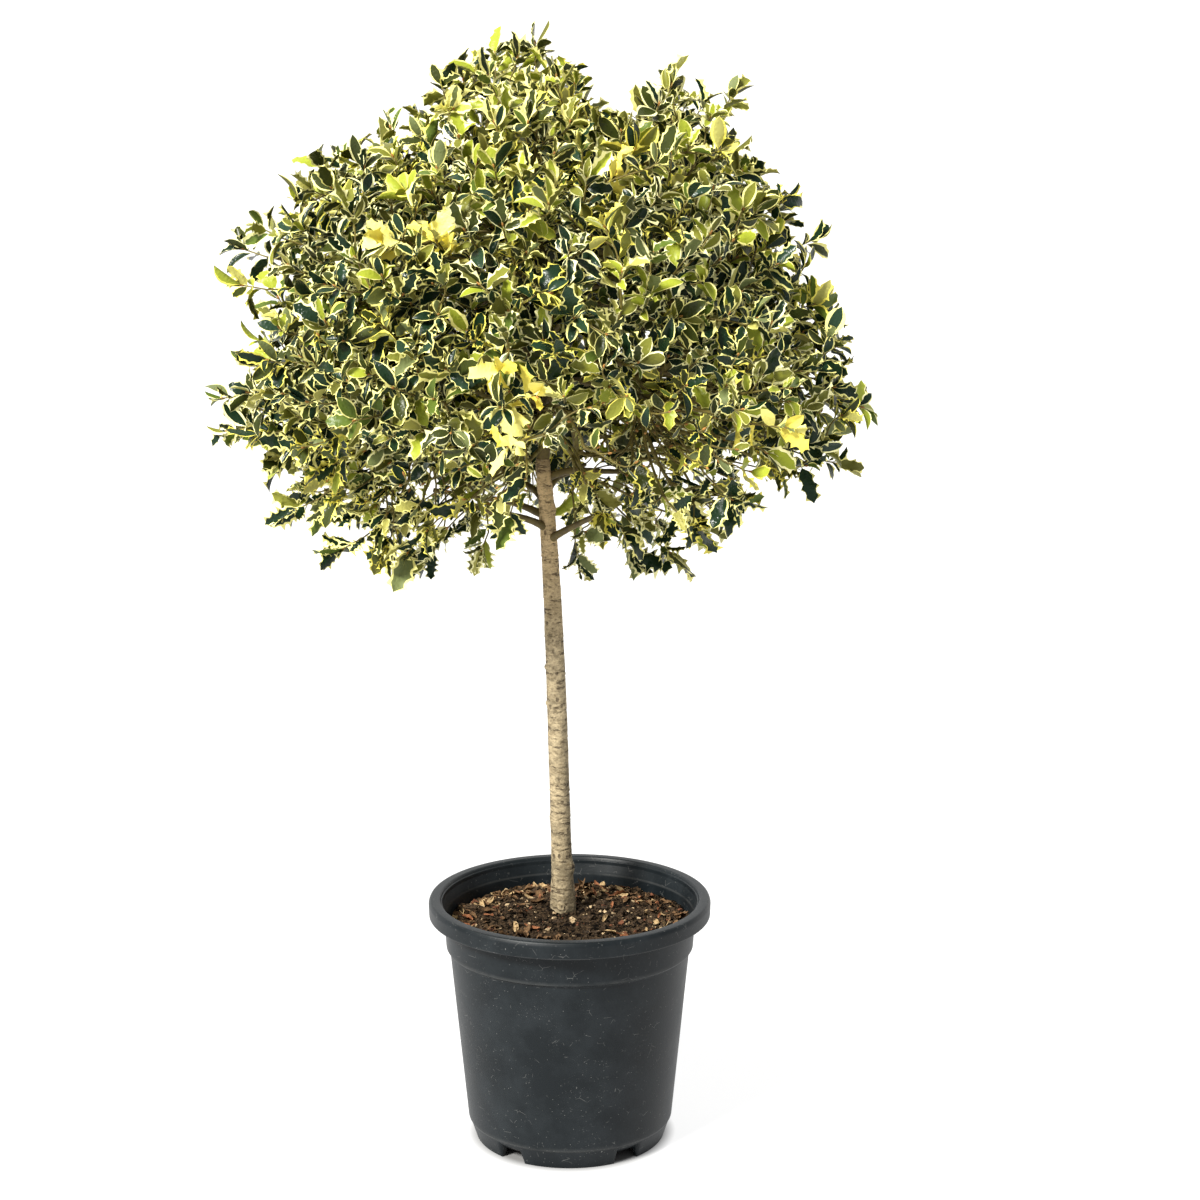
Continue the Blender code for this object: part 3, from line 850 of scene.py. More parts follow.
class Wood:
    """All limbs of the crown as lines of points, in the order in which they grow."""

    def __init__(self):
        self.lines = []
        self.parents = []
        self.points = np.empty((0, 3))
        self.headings = np.empty((0, 3))
        self.owners = np.empty((0, 2), int)

    def add(self, line, parent, usable):
        """Adds a line. New shoots may start on its first usable points."""
        number = len(self.lines)
        self.lines.append(line)
        self.parents.append(parent)
        self.points = np.concatenate((self.points, line[:usable]))
        self.headings = np.concatenate((self.headings, unit(np.gradient(line, axis=0))[:usable]))
        owners = np.stack((np.full(usable, number), np.arange(usable)), axis=1)
        self.owners = np.concatenate((self.owners, owners))

    def grow_to(self, tip, heading, bend, core, hold):
        """Joins a shoot's tip to the wood that is nearer to the crown's middle than core.

        It starts where the distance is least, made longer for wood that points elsewhere and for wood
        that doesn't lie behind the tip. It leaves between the wood's heading, which it holds by the share
        given, and the straight way, and follows a crooked cubic curve that arrives with its own heading.
        """
        away = tip - self.points
        gap = lengths(away) + 1e-9
        pointing = np.sum(away * self.headings, axis=1) / gap
        behind = np.sum(away * heading, axis=1) / gap
        cost = gap * (JOIN_COST - POINTING_GAIN * pointing - BEHIND_GAIN * behind)
        usable = (gap > SHORTEST_SHOOT) & (lengths(self.points - crown_middle()) < core)
        best = np.argmin(np.where(usable, cost, FAR))
        root = self.points[best]
        leave = unit(self.headings[best] * hold + away[best] / gap[best] + bend)
        pull = gap[best] * PULL
        t = np.linspace(0, 1, SHOOT_POINTS)[:, None]
        wave = np.sin(t * pi) * np.sin(t * 9 + bend[0] * 20)
        line = wave * np.cross(heading, leave) * gap[best] * CROOK + (
            root * (1 - t) ** 3
            + (root + leave * pull) * 3 * t * (1 - t) ** 2
            + (tip - heading * pull) * 3 * t**2 * (1 - t)
            + tip * t**3
        )
        self.add(line, tuple(self.owners[best]), SHOOT_POINTS - SHOOT_END)

    def radii(self, tip_radius, gather):
        """Each line's radius at its points: its own, which grows with the distance from its tip, and that
        of the branches beyond the point, added up by the power gather."""
        loads = [
            (tip_radius * (1 + lengths(line - line[-1]) / DOUBLING)) ** gather for line in self.lines
        ]
        for load, parent in zip(loads[::-1], self.parents[::-1]):
            if parent:
                number, place = parent
                loads[number][: place + 1] += load[0]
        return [load ** (1 / gather) for load in loads]


def growing_order(tips, limbs, rng):
    """The order in which shoots grow, and which of them lead, in that order. The leading ones come first
    as long limbs, then a share of those beside the fork, and the rest from the middle outwards."""
    rank = lengths(tips - crown_middle())
    rank[: limbs.leading] -= FAR
    beside = (seen_places(tips)[:, 1] < 1.10) & (rng.random(len(tips)) < limbs.low_share)
    rank[beside & (rank > 0)] -= FAR / 2
    order = np.argsort(rank)
    return order, rank[order] < 0


def shoot_headings(tips, leading, marked, limbs, rng):
    """The heading of each shoot at its tip, and a small random bend.

    Shoots head outwards and turn up, by a rise that depends on how high they sit, and stray a little.
    The leading ones point away from the fork, and those on the outline straight out.
    """
    out = unit(tips - crown_middle())
    rise = np.interp(out[:, 2], (-1.0, -0.5, 0.0, 1.0), (-0.10, 0.10, 0.62, 0.85))[:, None]
    spread = np.where(out < 0, out * (1, 1, 0.4), out)
    headings = unit(spread * 0.7 + UP * rise + rng.normal(size=tips.shape) * 0.42)
    bends = rng.normal(size=tips.shape) * 0.22
    from_fork = unit(tips - stem_at(limbs.fork)) + rng.normal(size=tips.shape) * 0.10
    headings = np.where(leading[:, None], unit(from_fork), headings)
    straight_out = unit(spread + UP * np.clip(out[:, 2:], 0, 1) * 0.5)
    return np.where(marked[:, None], straight_out, headings), bends * np.where(leading, 0.7, 1.0)[:, None]


@cache
def grown_crown():
    """The boughs, and the lines and radii of all shoots that grow on from them and from the leader."""
    limbs = bpy.context.scene.holly_limbs
    rng = np.random.default_rng(limbs.seed)
    wood = Wood()
    boughs = bough_lines()
    leader = stem_line()[0]
    leader = smooth_line(leader[leader[:, 2] > 1.0], BOUGH_POINTS)
    for line in [leader] + [bough[0] for bough in boughs]:
        wood.add(line, None, len(line))
    tips = shoot_tips(limbs, rng)
    order, leading = growing_order(tips, limbs, rng)
    tips = tips[order]
    headings, bends = shoot_headings(tips, leading, order < len(OUTLINE_SHOOTS), limbs, rng)
    cores = np.where(leading, limbs.core, FAR)
    holds = np.where(leading, 0.25, 0.6)
    for shoot in zip(tips, headings, bends, cores, holds):
        wood.grow_to(*shoot)
    radii = wood.radii(limbs.twig_radius, limbs.gather)
    first = len(boughs) + 1
    return boughs, np.array(wood.lines[first:]), np.array(radii[first:])


# Pot

def rounded(corners, steps=5):
    """A profile through corners of radius, height and rounding: each corner becomes a quadratic curve
    between the points that lie its rounding away on both sides, with one more point beyond each."""
    corners = np.array(corners)
    places = corners[:, :2]
    made = [places[:1]]
    t = np.linspace(0, 1, steps)[:, None]
    for before, corner, after, rounding in zip(places, places[1:], places[2:], corners[1:-1, 2]):
        back = unit(before - corner) * rounding
        on = unit(after - corner) * rounding
        curve = (corner + back) * (1 - t) ** 2 + corner * 2 * t * (1 - t) + (corner + on) * t**2
        made += [[corner + back * 1.3], curve, [corner + on * 1.3]]
    return np.concatenate(made + [places[-1:]])


def pot_profile(pot):
    """Section of the pot: from the floor's middle up the inside, over the hollow rim, down the outside
    and under the foot ring to the middle pad."""
    top = pot.height
    lip = top - pot.rim_depth
    inner = pot.rim_radius - pot.rim_width
    wall = pot.wall
    ring = 0.006  # width of the foot ring's edge on the ground
    return rounded((
        (0.0005, pot.floor_height + wall, 0.0002),
        (pot.ground_radius - ring, pot.floor_height + wall, 0.002),
        (pot.foot_radius - wall, pot.foot_height + wall, 0.002),
        (pot.body_radius - wall, pot.collar_foot - 0.002, 0.002),
        (pot.collar_foot_radius - wall, pot.collar_foot + 0.002, 0.002),
        (pot.collar_radius - wall, lip, 0.004),
        (inner - 0.0008, top - 0.007, 0.003),
        (inner + 0.0022, top - 0.0002, 0.0022),
        (inner + 0.010, top, 0.002),
        (pot.rim_radius - 0.0022, top - 0.0004, 0.0022),
        (pot.rim_radius, top - 0.006, 0.0018),
        (pot.rim_radius - 0.0006, lip + 0.0004, 0.0011),
        (pot.rim_radius - 0.0032, lip + 0.0004, 0.0009),
        (pot.rim_radius - 0.0034, top - 0.0042, 0.0012),
        (pot.collar_radius + 0.0022, top - 0.0042, 0.0014),
        (pot.collar_radius, lip, 0.002),
        (pot.collar_foot_radius, pot.collar_foot + 0.0008, 0.0010),
        (pot.body_radius, pot.collar_foot - 0.0026, 0.0016),
        (pot.foot_radius, pot.foot_height + 0.001, 0.0010),
        (pot.foot_radius - 0.0022, pot.foot_height - 0.0022, 0.0010),
        (pot.ground_radius, 0.0, 0.0009),
        (pot.ground_radius - ring, 0.0, 0.0009),
        (pot.ground_radius - ring, pot.floor_height, 0.0015),
        (0.030, pot.floor_height, 0.0015),
        (0.028, 0.0, 0.0010),
        (0.0005, 0.0, 0.0002),
    ))


# The sloping end of a drain notch, as a share of its width
NOTCH_SLOPE = 0.1


def first_notch(pot):
    """The bearing of a notch: the front is half way between two of them."""
    return radians(-90) + pi / pot.notches


def notch_lift(angles, pot):
    """How high the foot ring's edge is raised at each angle: nothing outside a notch, then up a short
    slope to the notch's height."""
    apart = (angles - first_notch(pot)) % (2 * pi / pot.notches)
    apart = np.minimum(apart, 2 * pi / pot.notches - apart) * pot.ground_radius
    slope = pot.notch_width * NOTCH_SLOPE
    return pot.notch_height * np.clip((pot.notch_width / 2 - apart) / slope, 0, 1)


def pot_angles(pot, count=180):
    """Even steps round the pot, with the two ends of each slope of every notch added."""
    inner = 0.5 - NOTCH_SLOPE
    edges = np.array((-0.5, -inner, inner, 0.5)) * pot.notch_width / pot.ground_radius
    notches = first_notch(pot) + even_turns(pot.notches)[:, None] + edges
    every = np.concatenate((even_turns(count), notches.ravel() % (2 * pi)))
    return np.unique(np.round(every, 5))


class HollyPot(bpy.types.Operator):
    """Turns the nursery pot: a profile carried round the axis, its foot ring raised at the notches"""

    bl_idname = "holly.pot"
    bl_label = "Pot"

    def execute(self, context):
        pot = context.scene.holly_pot
        profile = pot_profile(pot)
        angles = pot_angles(pot)
        radius, height = profile[:, :1], profile[:, 1:]
        on_ring = (radius > pot.ground_radius - 0.010) & (height < pot.floor_height)
        height = np.where(on_ring, np.maximum(height, notch_lift(angles, pot)), height)
        points = turned(radius, angles, height).reshape(-1, 3)
        faces = closed_grid(len(profile), len(angles), inward=True)
        piece = new_piece("pot_moulding", points, faces, [plastic_finish(pot)])
        as_root_piece(piece, "pot_plastic", "pot")
        return {"FINISHED"}


# Compost and litter

# About the height at which the trunk comes out of the compost
TRUNK_FOOT = 0.33


def from_trunk(points):
    """How far points of the plan are from the trunk's middle at its foot."""
    return lengths(points - stem_at(TRUNK_FOOT)[:2])


def compost_height(points, compost):
    """Level round the trunk, then falling by an S curve to the wall, with lumps and crumbs on it."""
    away = from_trunk(points)
    fall = smooth_step(away, compost.plateau, compost.plateau + compost.slope)
    flat = np.concatenate((points, 0 * points[..., :1]), axis=-1)
    lumps = rough_noise(flat * 30, 3, 3) * 0.0060 + rough_noise(flat * 150, 3, 9) * 0.0036
    return compost.peak_height + (compost.edge_height - compost.peak_height) * fall + lumps - 0.002


class HollyCompost(bpy.types.Operator):
    """Fills the pot: rings of points whose height is a mound with lumps, and a plug under them"""

    bl_idname = "holly.compost"
    bl_label = "Compost"

    def execute(self, context):
        pot, compost = context.scene.holly_pot, context.scene.holly_compost
        columns, rows = 220, 80
        edge = pot.collar_foot_radius - pot.wall + 0.0022
        plan = turned(np.linspace(edge, 0.001, rows)[:, None], even_turns(columns), 0.0)
        top = plan + UP * compost_height(plan[..., :2], compost)[..., None]
        under = plan[:1] + UP * (compost.edge_height - 0.012)
        points = np.concatenate((under, top)).reshape(-1, 3)
        faces = closed_grid(rows + 1, columns)
        piece = new_piece("compost_bed", points, faces, [compost_finish(compost)])
        as_root_piece(piece, "compost", "compost")
        return {"FINISHED"}


# The litter lies inside this radius, and clear of the trunk's middle
LITTER_RIM = 0.171
LITTER_CLEARANCE = 0.026
LITTER_SEED = 29


def litter_places(count, rng, compost, lean):
    """Random places on the compost, clear of the trunk. A larger lean brings more of them to the wall,
    and the front gets more than the back."""
    angle = rng.random(count) * 2 * pi
    angle = angle + 0.60 * np.cos(angle) * lean
    out = LITTER_RIM * rng.random(count) ** (0.5 - 0.3 * lean)
    plan = turned(out, angle, 0.0)
    plan = plan[from_trunk(plan[:, :2]) > LITTER_CLEARANCE]
    return plan + UP * compost_height(plan[:, :2], compost)[:, None]


def random_axes(count, rng, tilt):
    """Three unit vectors for each thing that lies about: turned at random, tilted by up to tilt."""
    turn = rng.random(count) * 2 * pi
    along = unit(turned(1.0, turn, rng.normal(size=count) * tilt))
    lean = np.stack((*(rng.normal(size=(2, count)) * tilt), np.ones(count)), axis=1)
    across = unit(np.cross(lean, along))
    return along, across, np.cross(along, across)


class HollyLitter(bpy.types.Operator):
    """Strews bark chips, jagged small blocks, and dead leaves, curled ovals, over the compost"""

    bl_idname = "holly.litter"
    bl_label = "Chips and dead leaves"

    def execute(self, context):
        compost = context.scene.holly_compost
        rng = np.random.default_rng(LITTER_SEED)
        self.strew_chips(compost, rng)
        self.strew_leaves(compost, rng)
        return {"FINISHED"}

    def strew_chips(self, compost, rng):
        """Each chip is a box with its eight corners shifted, long, flat and half sunk in."""
        places = litter_places(compost.chips, rng, compost, 0.3)
        count = len(places)
        along, across, up = (axis[:, None] for axis in random_axes(count, rng, 0.35))
        corner = np.array(list(product((-1, 1), repeat=3)), float)
        jag = corner * (1 + rng.uniform(-0.55, 0.25, (count, 8, 3)))
        room = LITTER_RIM + 0.003 - np.hypot(places[:, 0], places[:, 1])
        big = np.minimum(rng.gamma(1.1, 1.0, count), room / 0.0022)[:, None]
        moved = jag * (big * (0.0014, 0.0009, 0.0007) + 0.0005)[:, None]
        points = places[:, None] + (moved[..., :1] * along + moved[..., 1:2] * across + moved[..., 2:] * up)
        box = np.array(((0, 1, 3, 2), (4, 6, 7, 5), (0, 4, 5, 1), (2, 3, 7, 6), (0, 2, 6, 4), (1, 5, 7, 3)))
        faces = repeated(box, count, len(corner))
        picks = np.repeat(rng.choice(3, count, p=(0.81, 0.07, 0.12)), len(box))
        finishes = [
            litter_finish("holly chip dark", (0.004, 0.0025, 0.0015), (0.070, 0.044, 0.024)),
            litter_finish("holly chip red", (0.050, 0.020, 0.010), (0.200, 0.080, 0.042)),
            litter_finish("holly chip tan", (0.120, 0.075, 0.040), (0.580, 0.440, 0.260)),
        ]
        piece = new_piece("bark_chips", points.reshape(-1, 3), [faces], finishes, picks, smooth=False)
        as_root_piece(piece, "compost")

    def strew_leaves(self, compost, rng):
        """Each dead leaf is an oval sheet of six rows of three points, rolled along its length."""
        places = litter_places(compost.dead_leaves, rng, compost, 1.0) * (0.95, 0.95, 1) + UP * 0.0025
        count = len(places)
        along, across, up = (axis[:, None] for axis in random_axes(count, rng, 0.30))
        s = np.linspace(-1, 1, 6)
        wide = np.sqrt(np.maximum(1 - (s * 0.94) ** 2, 0.02))
        u, v = (grid.ravel() for grid in np.meshgrid(s, (-1, 0, 1), indexing="ij"))
        v = v * np.repeat(wide, 3)
        length = rng.uniform(0.004, 0.012, (count, 1))
        width = length * rng.uniform(0.22, 0.50, (count, 1))
        roll = rng.uniform(-0.3, 1.8, (count, 1))
        rise = v**2 * width * roll + u**2 * length * rng.uniform(-0.2, 0.5, (count, 1))
        rise = (rise + width * 0.5 * rng.uniform(-1, 1, (count, len(u))))[..., None]
        in_plane = along * (u * length)[..., None] + across * (v * width)[..., None]
        points = places[:, None] + in_plane + up * rise
        row = np.arange(5)[:, None] * 3 + np.arange(2)
        quads = np.stack((row, row + 3, row + 4, row + 1), axis=-1).reshape(-1, 4)
        faces = repeated(quads, count, len(u))
        picks = np.repeat(rng.choice(3, count, p=(0.56, 0.28, 0.16)), len(quads))
        finishes = [
            litter_finish("holly litter brown", (0.055, 0.030, 0.015), (0.170, 0.100, 0.048)),
            litter_finish("holly litter tan", (0.190, 0.120, 0.055), (0.440, 0.320, 0.170)),
            litter_finish("holly litter rust", (0.110, 0.040, 0.018), (0.290, 0.125, 0.058)),
        ]
        piece = new_piece("leaf_litter", points.reshape(-1, 3), [faces], finishes, picks)
        as_root_piece(piece, "compost")


# Trunk

# Knots and stubs: height, bearing in degrees from the right, how far they stand out, how wide
KNOTS = (
    (0.383, -20, 0.0050, 0.0085), (0.684, -60, 0.0024, 0.0060), (0.647, -120, 0.0020, 0.0050),
    (0.679, 186, 0.0030, 0.0028), (0.626, 180, 0.0028, 0.0026), (0.520, 95, 0.0030, 0.0060),
    (0.455, 150, 0.0022, 0.0070), (0.760, 60, 0.0024, 0.0050), (0.588, -75, 0.0014, 0.0045),
    (0.892, 140, 0.0026, 0.0060), (0.905, -10, 0.0026, 0.0060), (0.935, -130, 0.0024, 0.0070),
)

# Heights of the ring scars, and half the width of each
RING_SCARS = (0.352, 0.412, 0.457, 0.497, 0.575, 0.616, 0.668, 0.722, 0.777, 0.836, 0.881, 0.925)
SCAR_WIDTH = 0.0011

# How far the trunk's mesh reaches into the compost, up to which height of the frame's trunk it goes, and
# how far beyond that ring it ends
TRUNK_SUNK = 0.010
TRUNK_TOP = 0.975
TRUNK_OVERLAP = 0.004


def trunk_relief(angles, heights, radius, trunk):
    """How far the bark stands out: broad lumps, cross wrinkles, more lumps low down, ring scars with a
    lip above each, and knots, each a round swelling with a dent in its middle."""
    ring = turned(radius, angles, heights)
    relief = rough_noise(ring * (42, 42, 26), 3, 5) * trunk.lump
    relief += rough_noise(ring * (130, 130, 620), 3, 8) * trunk.wrinkle
    low = smooth_step(heights, 0.44, 0.36)
    relief += low * rough_noise(ring * (120, 120, 90), 3, 2) * trunk.lump * 1.2
    for number, level in enumerate(RING_SCARS):
        wander = level + 0.0016 * np.sin(angles * 2 + number * 1.7) + 0.0010 * np.sin(angles * 5 + number)
        apart = (heights - wander) / SCAR_WIDTH
        strength = 0.45 + 0.55 * np.cos(angles - number * 2.1) ** 2
        relief += strength * trunk.scar * (0.9 * np.exp(-((apart - 2.0) ** 2)) - np.exp(-(apart**2)))
    for level, bearing, out, wide in KNOTS:
        turn = (angles - radians(bearing) + pi) % (2 * pi) - pi
        apart = ((turn * radius) ** 2 + (heights - level) ** 2) / wide**2
        relief += out * (np.exp(-apart) - 0.45 * np.exp(-apart * 7))
    return relief


class HollyTrunk(bpy.types.Operator):
    """Raises the trunk: rings round its middle line, each point moved out by the bark's relief"""

    bl_idname = "holly.trunk"
    bl_label = "Trunk"

    def execute(self, context):
        trunk = context.scene.holly_trunk
        rows, columns = 560, 84
        line, radii = stem_line()
        low = line[0, 2] - TRUNK_SUNK
        high = line[line[:, 2] < TRUNK_TOP][-1, 2] + TRUNK_OVERLAP
        heights = np.linspace(low, high, rows)[:, None]
        angles = even_turns(columns)
        middle = np.stack([np.interp(heights, line[:, 2], axis) for axis in line.T], axis=-1)
        radius = np.interp(heights, line[:, 2], radii)
        radius = radius * (1 + trunk.thicker * smooth_step(heights, 0.45, 0.65))
        near_foot = np.exp(-(heights - low - TRUNK_SUNK) / 0.022)
        flutes = near_foot * (0.0012 * np.cos(angles * 4 + 0.6) - 0.0018)
        out = radius + flutes + trunk_relief(angles, heights, radius, trunk)
        points = (middle * (1, 1, 0) + turned(out, angles, heights)).reshape(-1, 3)
        piece = new_piece("trunk_bark", points, closed_grid(rows, columns), [trunk_finish(trunk)])
        as_root_piece(piece, "trunk_bark", "trunk")
        return {"FINISHED"}


# Boughs, branches and buds

# Rings and sides of the leader and of each bough, and the height above which the leader starts
LEADER_RINGS, LEADER_SIDES = 120, 20
BOUGH_RINGS, BOUGH_SIDES = 56, 14
LEADER_FOOT = 0.970

# Sides of a branch or bud, and the largest radius of a branch
TWIG_SIDES = 5
THICKEST_BRANCH = 0.0048

# How much thicker a bough is in its collar, as a share of its foot, and over what length that dies away
COLLAR = 0.55
COLLAR_LENGTH = 0.013


def rough_tube(line, radii, sides, wrinkle, seed):
    """A tube whose rings are moved out and in by noise, as bark lumps and leaf scars."""
    points, faces = tubes(line[None], radii[None], sides)
    rings = points.reshape(-1, sides, 3)
    out = unit(rings - rings.mean(1, keepdims=True))
    relief = rough_noise(rings * 160, 3, seed) * wrinkle
    return (rings + out * relief[..., None]).reshape(-1, 3), faces


class HollyLimbs(bpy.types.Operator):
    """Grows the boughs out of the stem, and every branch and shoot on from them, as tapering tubes"""

    bl_idname = "holly.limbs"
    bl_label = "Boughs and branches"

    def execute(self, context):
        limbs = context.scene.holly_limbs
        self.grow_boughs(wood_finish("holly old wood", limbs.old_colour, limbs.old_marks, 90))
        self.grow_branches(wood_finish("holly young wood", limbs.young_colour, limbs.young_marks, 130))
        return {"FINISHED"}

    def grow_boughs(self, finish):
        """Leader and boughs: thick where they join, with a swollen collar that dies away outwards."""
        stem, stem_radii = stem_line()
        above = stem[:, 2] > LEADER_FOOT
        line = smooth_line(stem[above], LEADER_RINGS)
        radii = np.interp(line[:, 2], stem[above, 2], stem_radii[above])
        parts = [rough_tube(line, radii, LEADER_SIDES, 0.0007, 4)]
        for number, (line, foot, tip) in enumerate(grown_crown()[0]):
            fine = smooth_line(line, BOUGH_RINGS)
            run = np.linspace(0, 1, BOUGH_RINGS)
            along = run * lengths(np.diff(fine, axis=0)).sum()
            radii = foot * (1 - run) + tip * run + foot * COLLAR * np.exp(-along / COLLAR_LENGTH)
            parts.append(rough_tube(fine, radii, BOUGH_SIDES, 0.0006, 20 + number))
        piece = new_piece("boughs_bark", *joined(parts), [finish])
        nodes = [name for name in sorted(NODES) if name.startswith("bough") or name == "leader"]
        as_root_piece(piece, "young_bark", *nodes)

    def grow_branches(self, finish):
        """Every branch and shoot, with only a few sides because there are so many of them."""
        lines, radii = grown_crown()[1:]
        branches = tubes(lines, np.minimum(radii, THICKEST_BRANCH), TWIG_SIDES)
        piece = new_piece("branches_bark", *branches, [finish])
        as_root_piece(piece, "young_bark")


# Leaves

# Share of a leaf's length that is stalk, and the stalk's half width as a share of the leaf's
STALK = 0.09
STALK_WIDTH = 0.06

# Where along the blade the last tooth and the last station lie
LAST_TOOTH = 0.88
LAST_STATION = 0.945


class LeafForm:
    """The outline of one kind of leaf, as points with shares of its length and half width.

    A thin stalk comes first. Beyond it the half width follows u**a * (1 - u)**b, scaled to 1 where it is
    widest. Between the foot and the tip each station has five points: outer edge, edge of the green,
    midrib, and the same back. Teeth are stations whose outer points stand out by the spine, each by its
    own share, with bays between them that cut in, made round if they are deep. What they add to the
    plain outline is kept apart, so that every leaf can have it in its own strength.
    """

    def __init__(self, stations, widest, power, teeth=0, first_tooth=1.0, bay=0.0, spine=0.0, deep=0.0):
        a, b = power * widest, power * (1 - widest)
        along, tips = self.places(stations, teeth, first_tooth, deep)
        wide = along**a * (1 - along) ** b / (widest**a * (1 - widest) ** b)
        on_tip = np.isin(along, tips)
        cut = np.where((along > first_tooth) & ~on_tip, wide * bay, 0.0)
        own = np.where(on_tip, spine * (1 + 0.40 * np.sin(np.arange(len(along)) * 3.7)), 0.0)
        along = np.concatenate(([0.0], along)) * (1 - STALK) + STALK
        wide = np.concatenate(([STALK_WIDTH], wide))
        outer, green = (np.concatenate(([0.0], own * part - cut)) for part in (1.0, 0.55))
        on_tip = np.concatenate(([False], on_tip))
        forward = along + np.where(on_tip, 0.045, 0.0)
        columns = np.array((-1.0, -1.0, 0.0, 1.0, 1.0))
        self.stations = len(along)
        self.u = self.outline((forward, along, along, along, forward), 1.02)
        self.v = self.outline([wide] * 5, 0.0, columns)
        self.teeth = self.outline((outer, green, green, green, outer), 0.0, columns)
        self.inner = self.outline([on_tip * 0.0 + 1] * 5, 0.0, np.array((0, 1, 0, 1, 0))).astype(bool)
        sway = np.where(on_tip, np.where(np.cumsum(on_tip) % 2 == 1, 1.0, -1.0), 0.0)
        self.sway = self.outline([sway] * 5, 0.0, np.array((1, 0, 0, 0, -1)))
        self.quads, self.fans = self.faces()

    def places(self, stations, teeth, first_tooth, deep):
        """Where along the blade the stations lie, and which of them are the tips of teeth."""
        if not teeth:
            return np.linspace(0.02, 1, stations + 2)[1:-1] ** 0.92, np.zeros(0)
        tips = np.linspace(first_tooth, LAST_TOOTH, teeth)
        tips = tips + 0.022 * np.sin(np.arange(teeth) * 5.1 + 1)
        bays = (tips[1:] + tips[:-1]) / 2
        if deep:
            bays = np.concatenate((bays - deep, bays + deep))
        plain = np.linspace(0, first_tooth, stations + 2)[1:-1]
        return np.sort(np.concatenate((plain, tips, bays, [LAST_STATION]))), tips

    def outline(self, values, tip, columns=1.0):
        """The five values of each station in a row, between one for the foot and one for the tip."""
        return np.concatenate(([0.0], (columns * np.stack(values, axis=1)).ravel(), [tip]))

    def faces(self):
        """Quads between stations, and the triangles that close the leaf at its foot and its tip."""
        side = np.arange(4)
        row = np.arange(self.stations - 1)[:, None] * 5 + side + 1
        quads = np.stack((row, row + 1, row + 6, row + 5), axis=-1).reshape(-1, 4)
        last = (self.stations - 1) * 5 + 1
        foot = np.stack((0 * side, side + 2, side + 1), axis=1)
        end = np.stack((side + last, side + last + 1, 0 * side + last + 5), axis=1)
        return quads, np.concatenate((foot, end))

    def margin_faces(self):
        """True for the faces that lie in the cream margin, quads first and then triangles."""
        return np.tile((True, False, False, True), self.stations + 1)


LEAF_FORMS = (
    LeafForm(5, 0.54, 1.50),
    LeafForm(2, 0.56, 1.35, teeth=2, first_tooth=0.58, bay=0.14, spine=0.12),
    LeafForm(1, 0.52, 1.05, teeth=3, first_tooth=0.28, bay=0.22, spine=0.20, deep=0.045),
    LeafForm(1, 0.48, 1.05, teeth=4, first_tooth=0.20, bay=0.26, spine=0.30, deep=0.035),
)
ENTIRE, TOOTHED, SPINY, THORNY = range(4)

# Plain colours that are dealt out by spray: green middles, undersides, golden leaves, cream margins
GREENS = (
    ("leaf bottle green", (0.008, 0.022, 0.009), 0.28),
    ("leaf blue green", (0.016, 0.038, 0.019), 0.28),
    ("leaf deep green", (0.034, 0.043, 0.008), 0.30),
    ("leaf mid green", (0.085, 0.125, 0.018), 0.33),
    # The olive and bright greens are partly painted light: yellower tones for leaves that the sun shines
    # through
    ("leaf olive green", (0.170, 0.175, 0.024), 0.36),
    ("leaf bright green", (0.290, 0.330, 0.030), 0.38),
)
GREEN_SHARES = (0.36, 0.12, 0.22, 0.08, 0.11, 0.11)
GOLD_SHARES = (0.6, 0.4)
MARGIN_SHARES = (0.55, 0.20, 0.25)
UNDERSIDES = (
    ("leaf pale underside", (0.380, 0.360, 0.095), 0.50),
    ("leaf grey underside", (0.140, 0.165, 0.060), 0.50),
    ("leaf olive underside", (0.115, 0.115, 0.020), 0.48),
)
GOLDS = (
    ("leaf gold", (0.880, 0.750, 0.120), 0.40),
    ("leaf lemon", (0.900, 0.830, 0.230), 0.40),
)
MARGINS = (
    ("margin cream", (0.920, 0.860, 0.310), 0.42),
    ("margin yellow", (0.890, 0.790, 0.140), 0.42),
    ("margin ivory", (0.930, 0.890, 0.460), 0.42),
)
TONES = GREENS + UNDERSIDES + GOLDS + MARGINS
FIRST_UNDERSIDE = len(GREENS)
FIRST_GOLD = FIRST_UNDERSIDE + len(UNDERSIDES)
FIRST_MARGIN = FIRST_GOLD + len(GOLDS)

# A leaf's back is seen from outside where the way outwards lies this far behind its face
TURNED_AWAY = -0.10

# The least curl of a leaf, because its arc is divided by it
LEAST_CURL = 0.02


def golden_shoots(tips, rng):
    """The shoots without any green: the ones nearest to the marked places on the front, and a few more."""
    middle = crown_middle()
    front = tips[:, 1] < middle[1] - 0.10
    chosen = []
    for x, z in GOLDEN_SPRAYS:
        away = np.hypot(tips[:, 0] - x, tips[:, 2] - z) + np.where(front, 0, FAR)
        chosen.append(int(np.argmin(away - 0.3 * (middle[1] - tips[:, 1]))))
    hidden = (tips[:, 1] > middle[1] + 0.05) & in_outline(tips, 0.07)
    others = np.flatnonzero(hidden & (lengths(tips - middle) > 0.30))
    return np.concatenate((chosen, rng.choice(others, GOLDEN_ELSEWHERE, replace=False)))


def along_lines(lines, back):
    """Points and headings at a distance back from the tip of each line, kept on its outer four fifths."""
    whole = lengths(np.diff(lines, axis=1)).sum(1)
    place = np.clip(1 - back / whole, 0.2, 1.0) * (lines.shape[1] - 1)
    first = np.minimum(place.astype(int), lines.shape[1] - 2)
    part = (place - first)[:, None]
    each = np.arange(len(lines))
    before, after = lines[each, first], lines[each, first + 1]
    return before * (1 - part) + after * part, unit(after - before)


# Where leaves sit, back from a shoot's tip: the step between crowded ones, how far back the first of the
# lower ones is, and the step between those
ROSETTE_STEP = 0.0022
LOWER_START = 0.012
LOWER_STEP = 0.0105


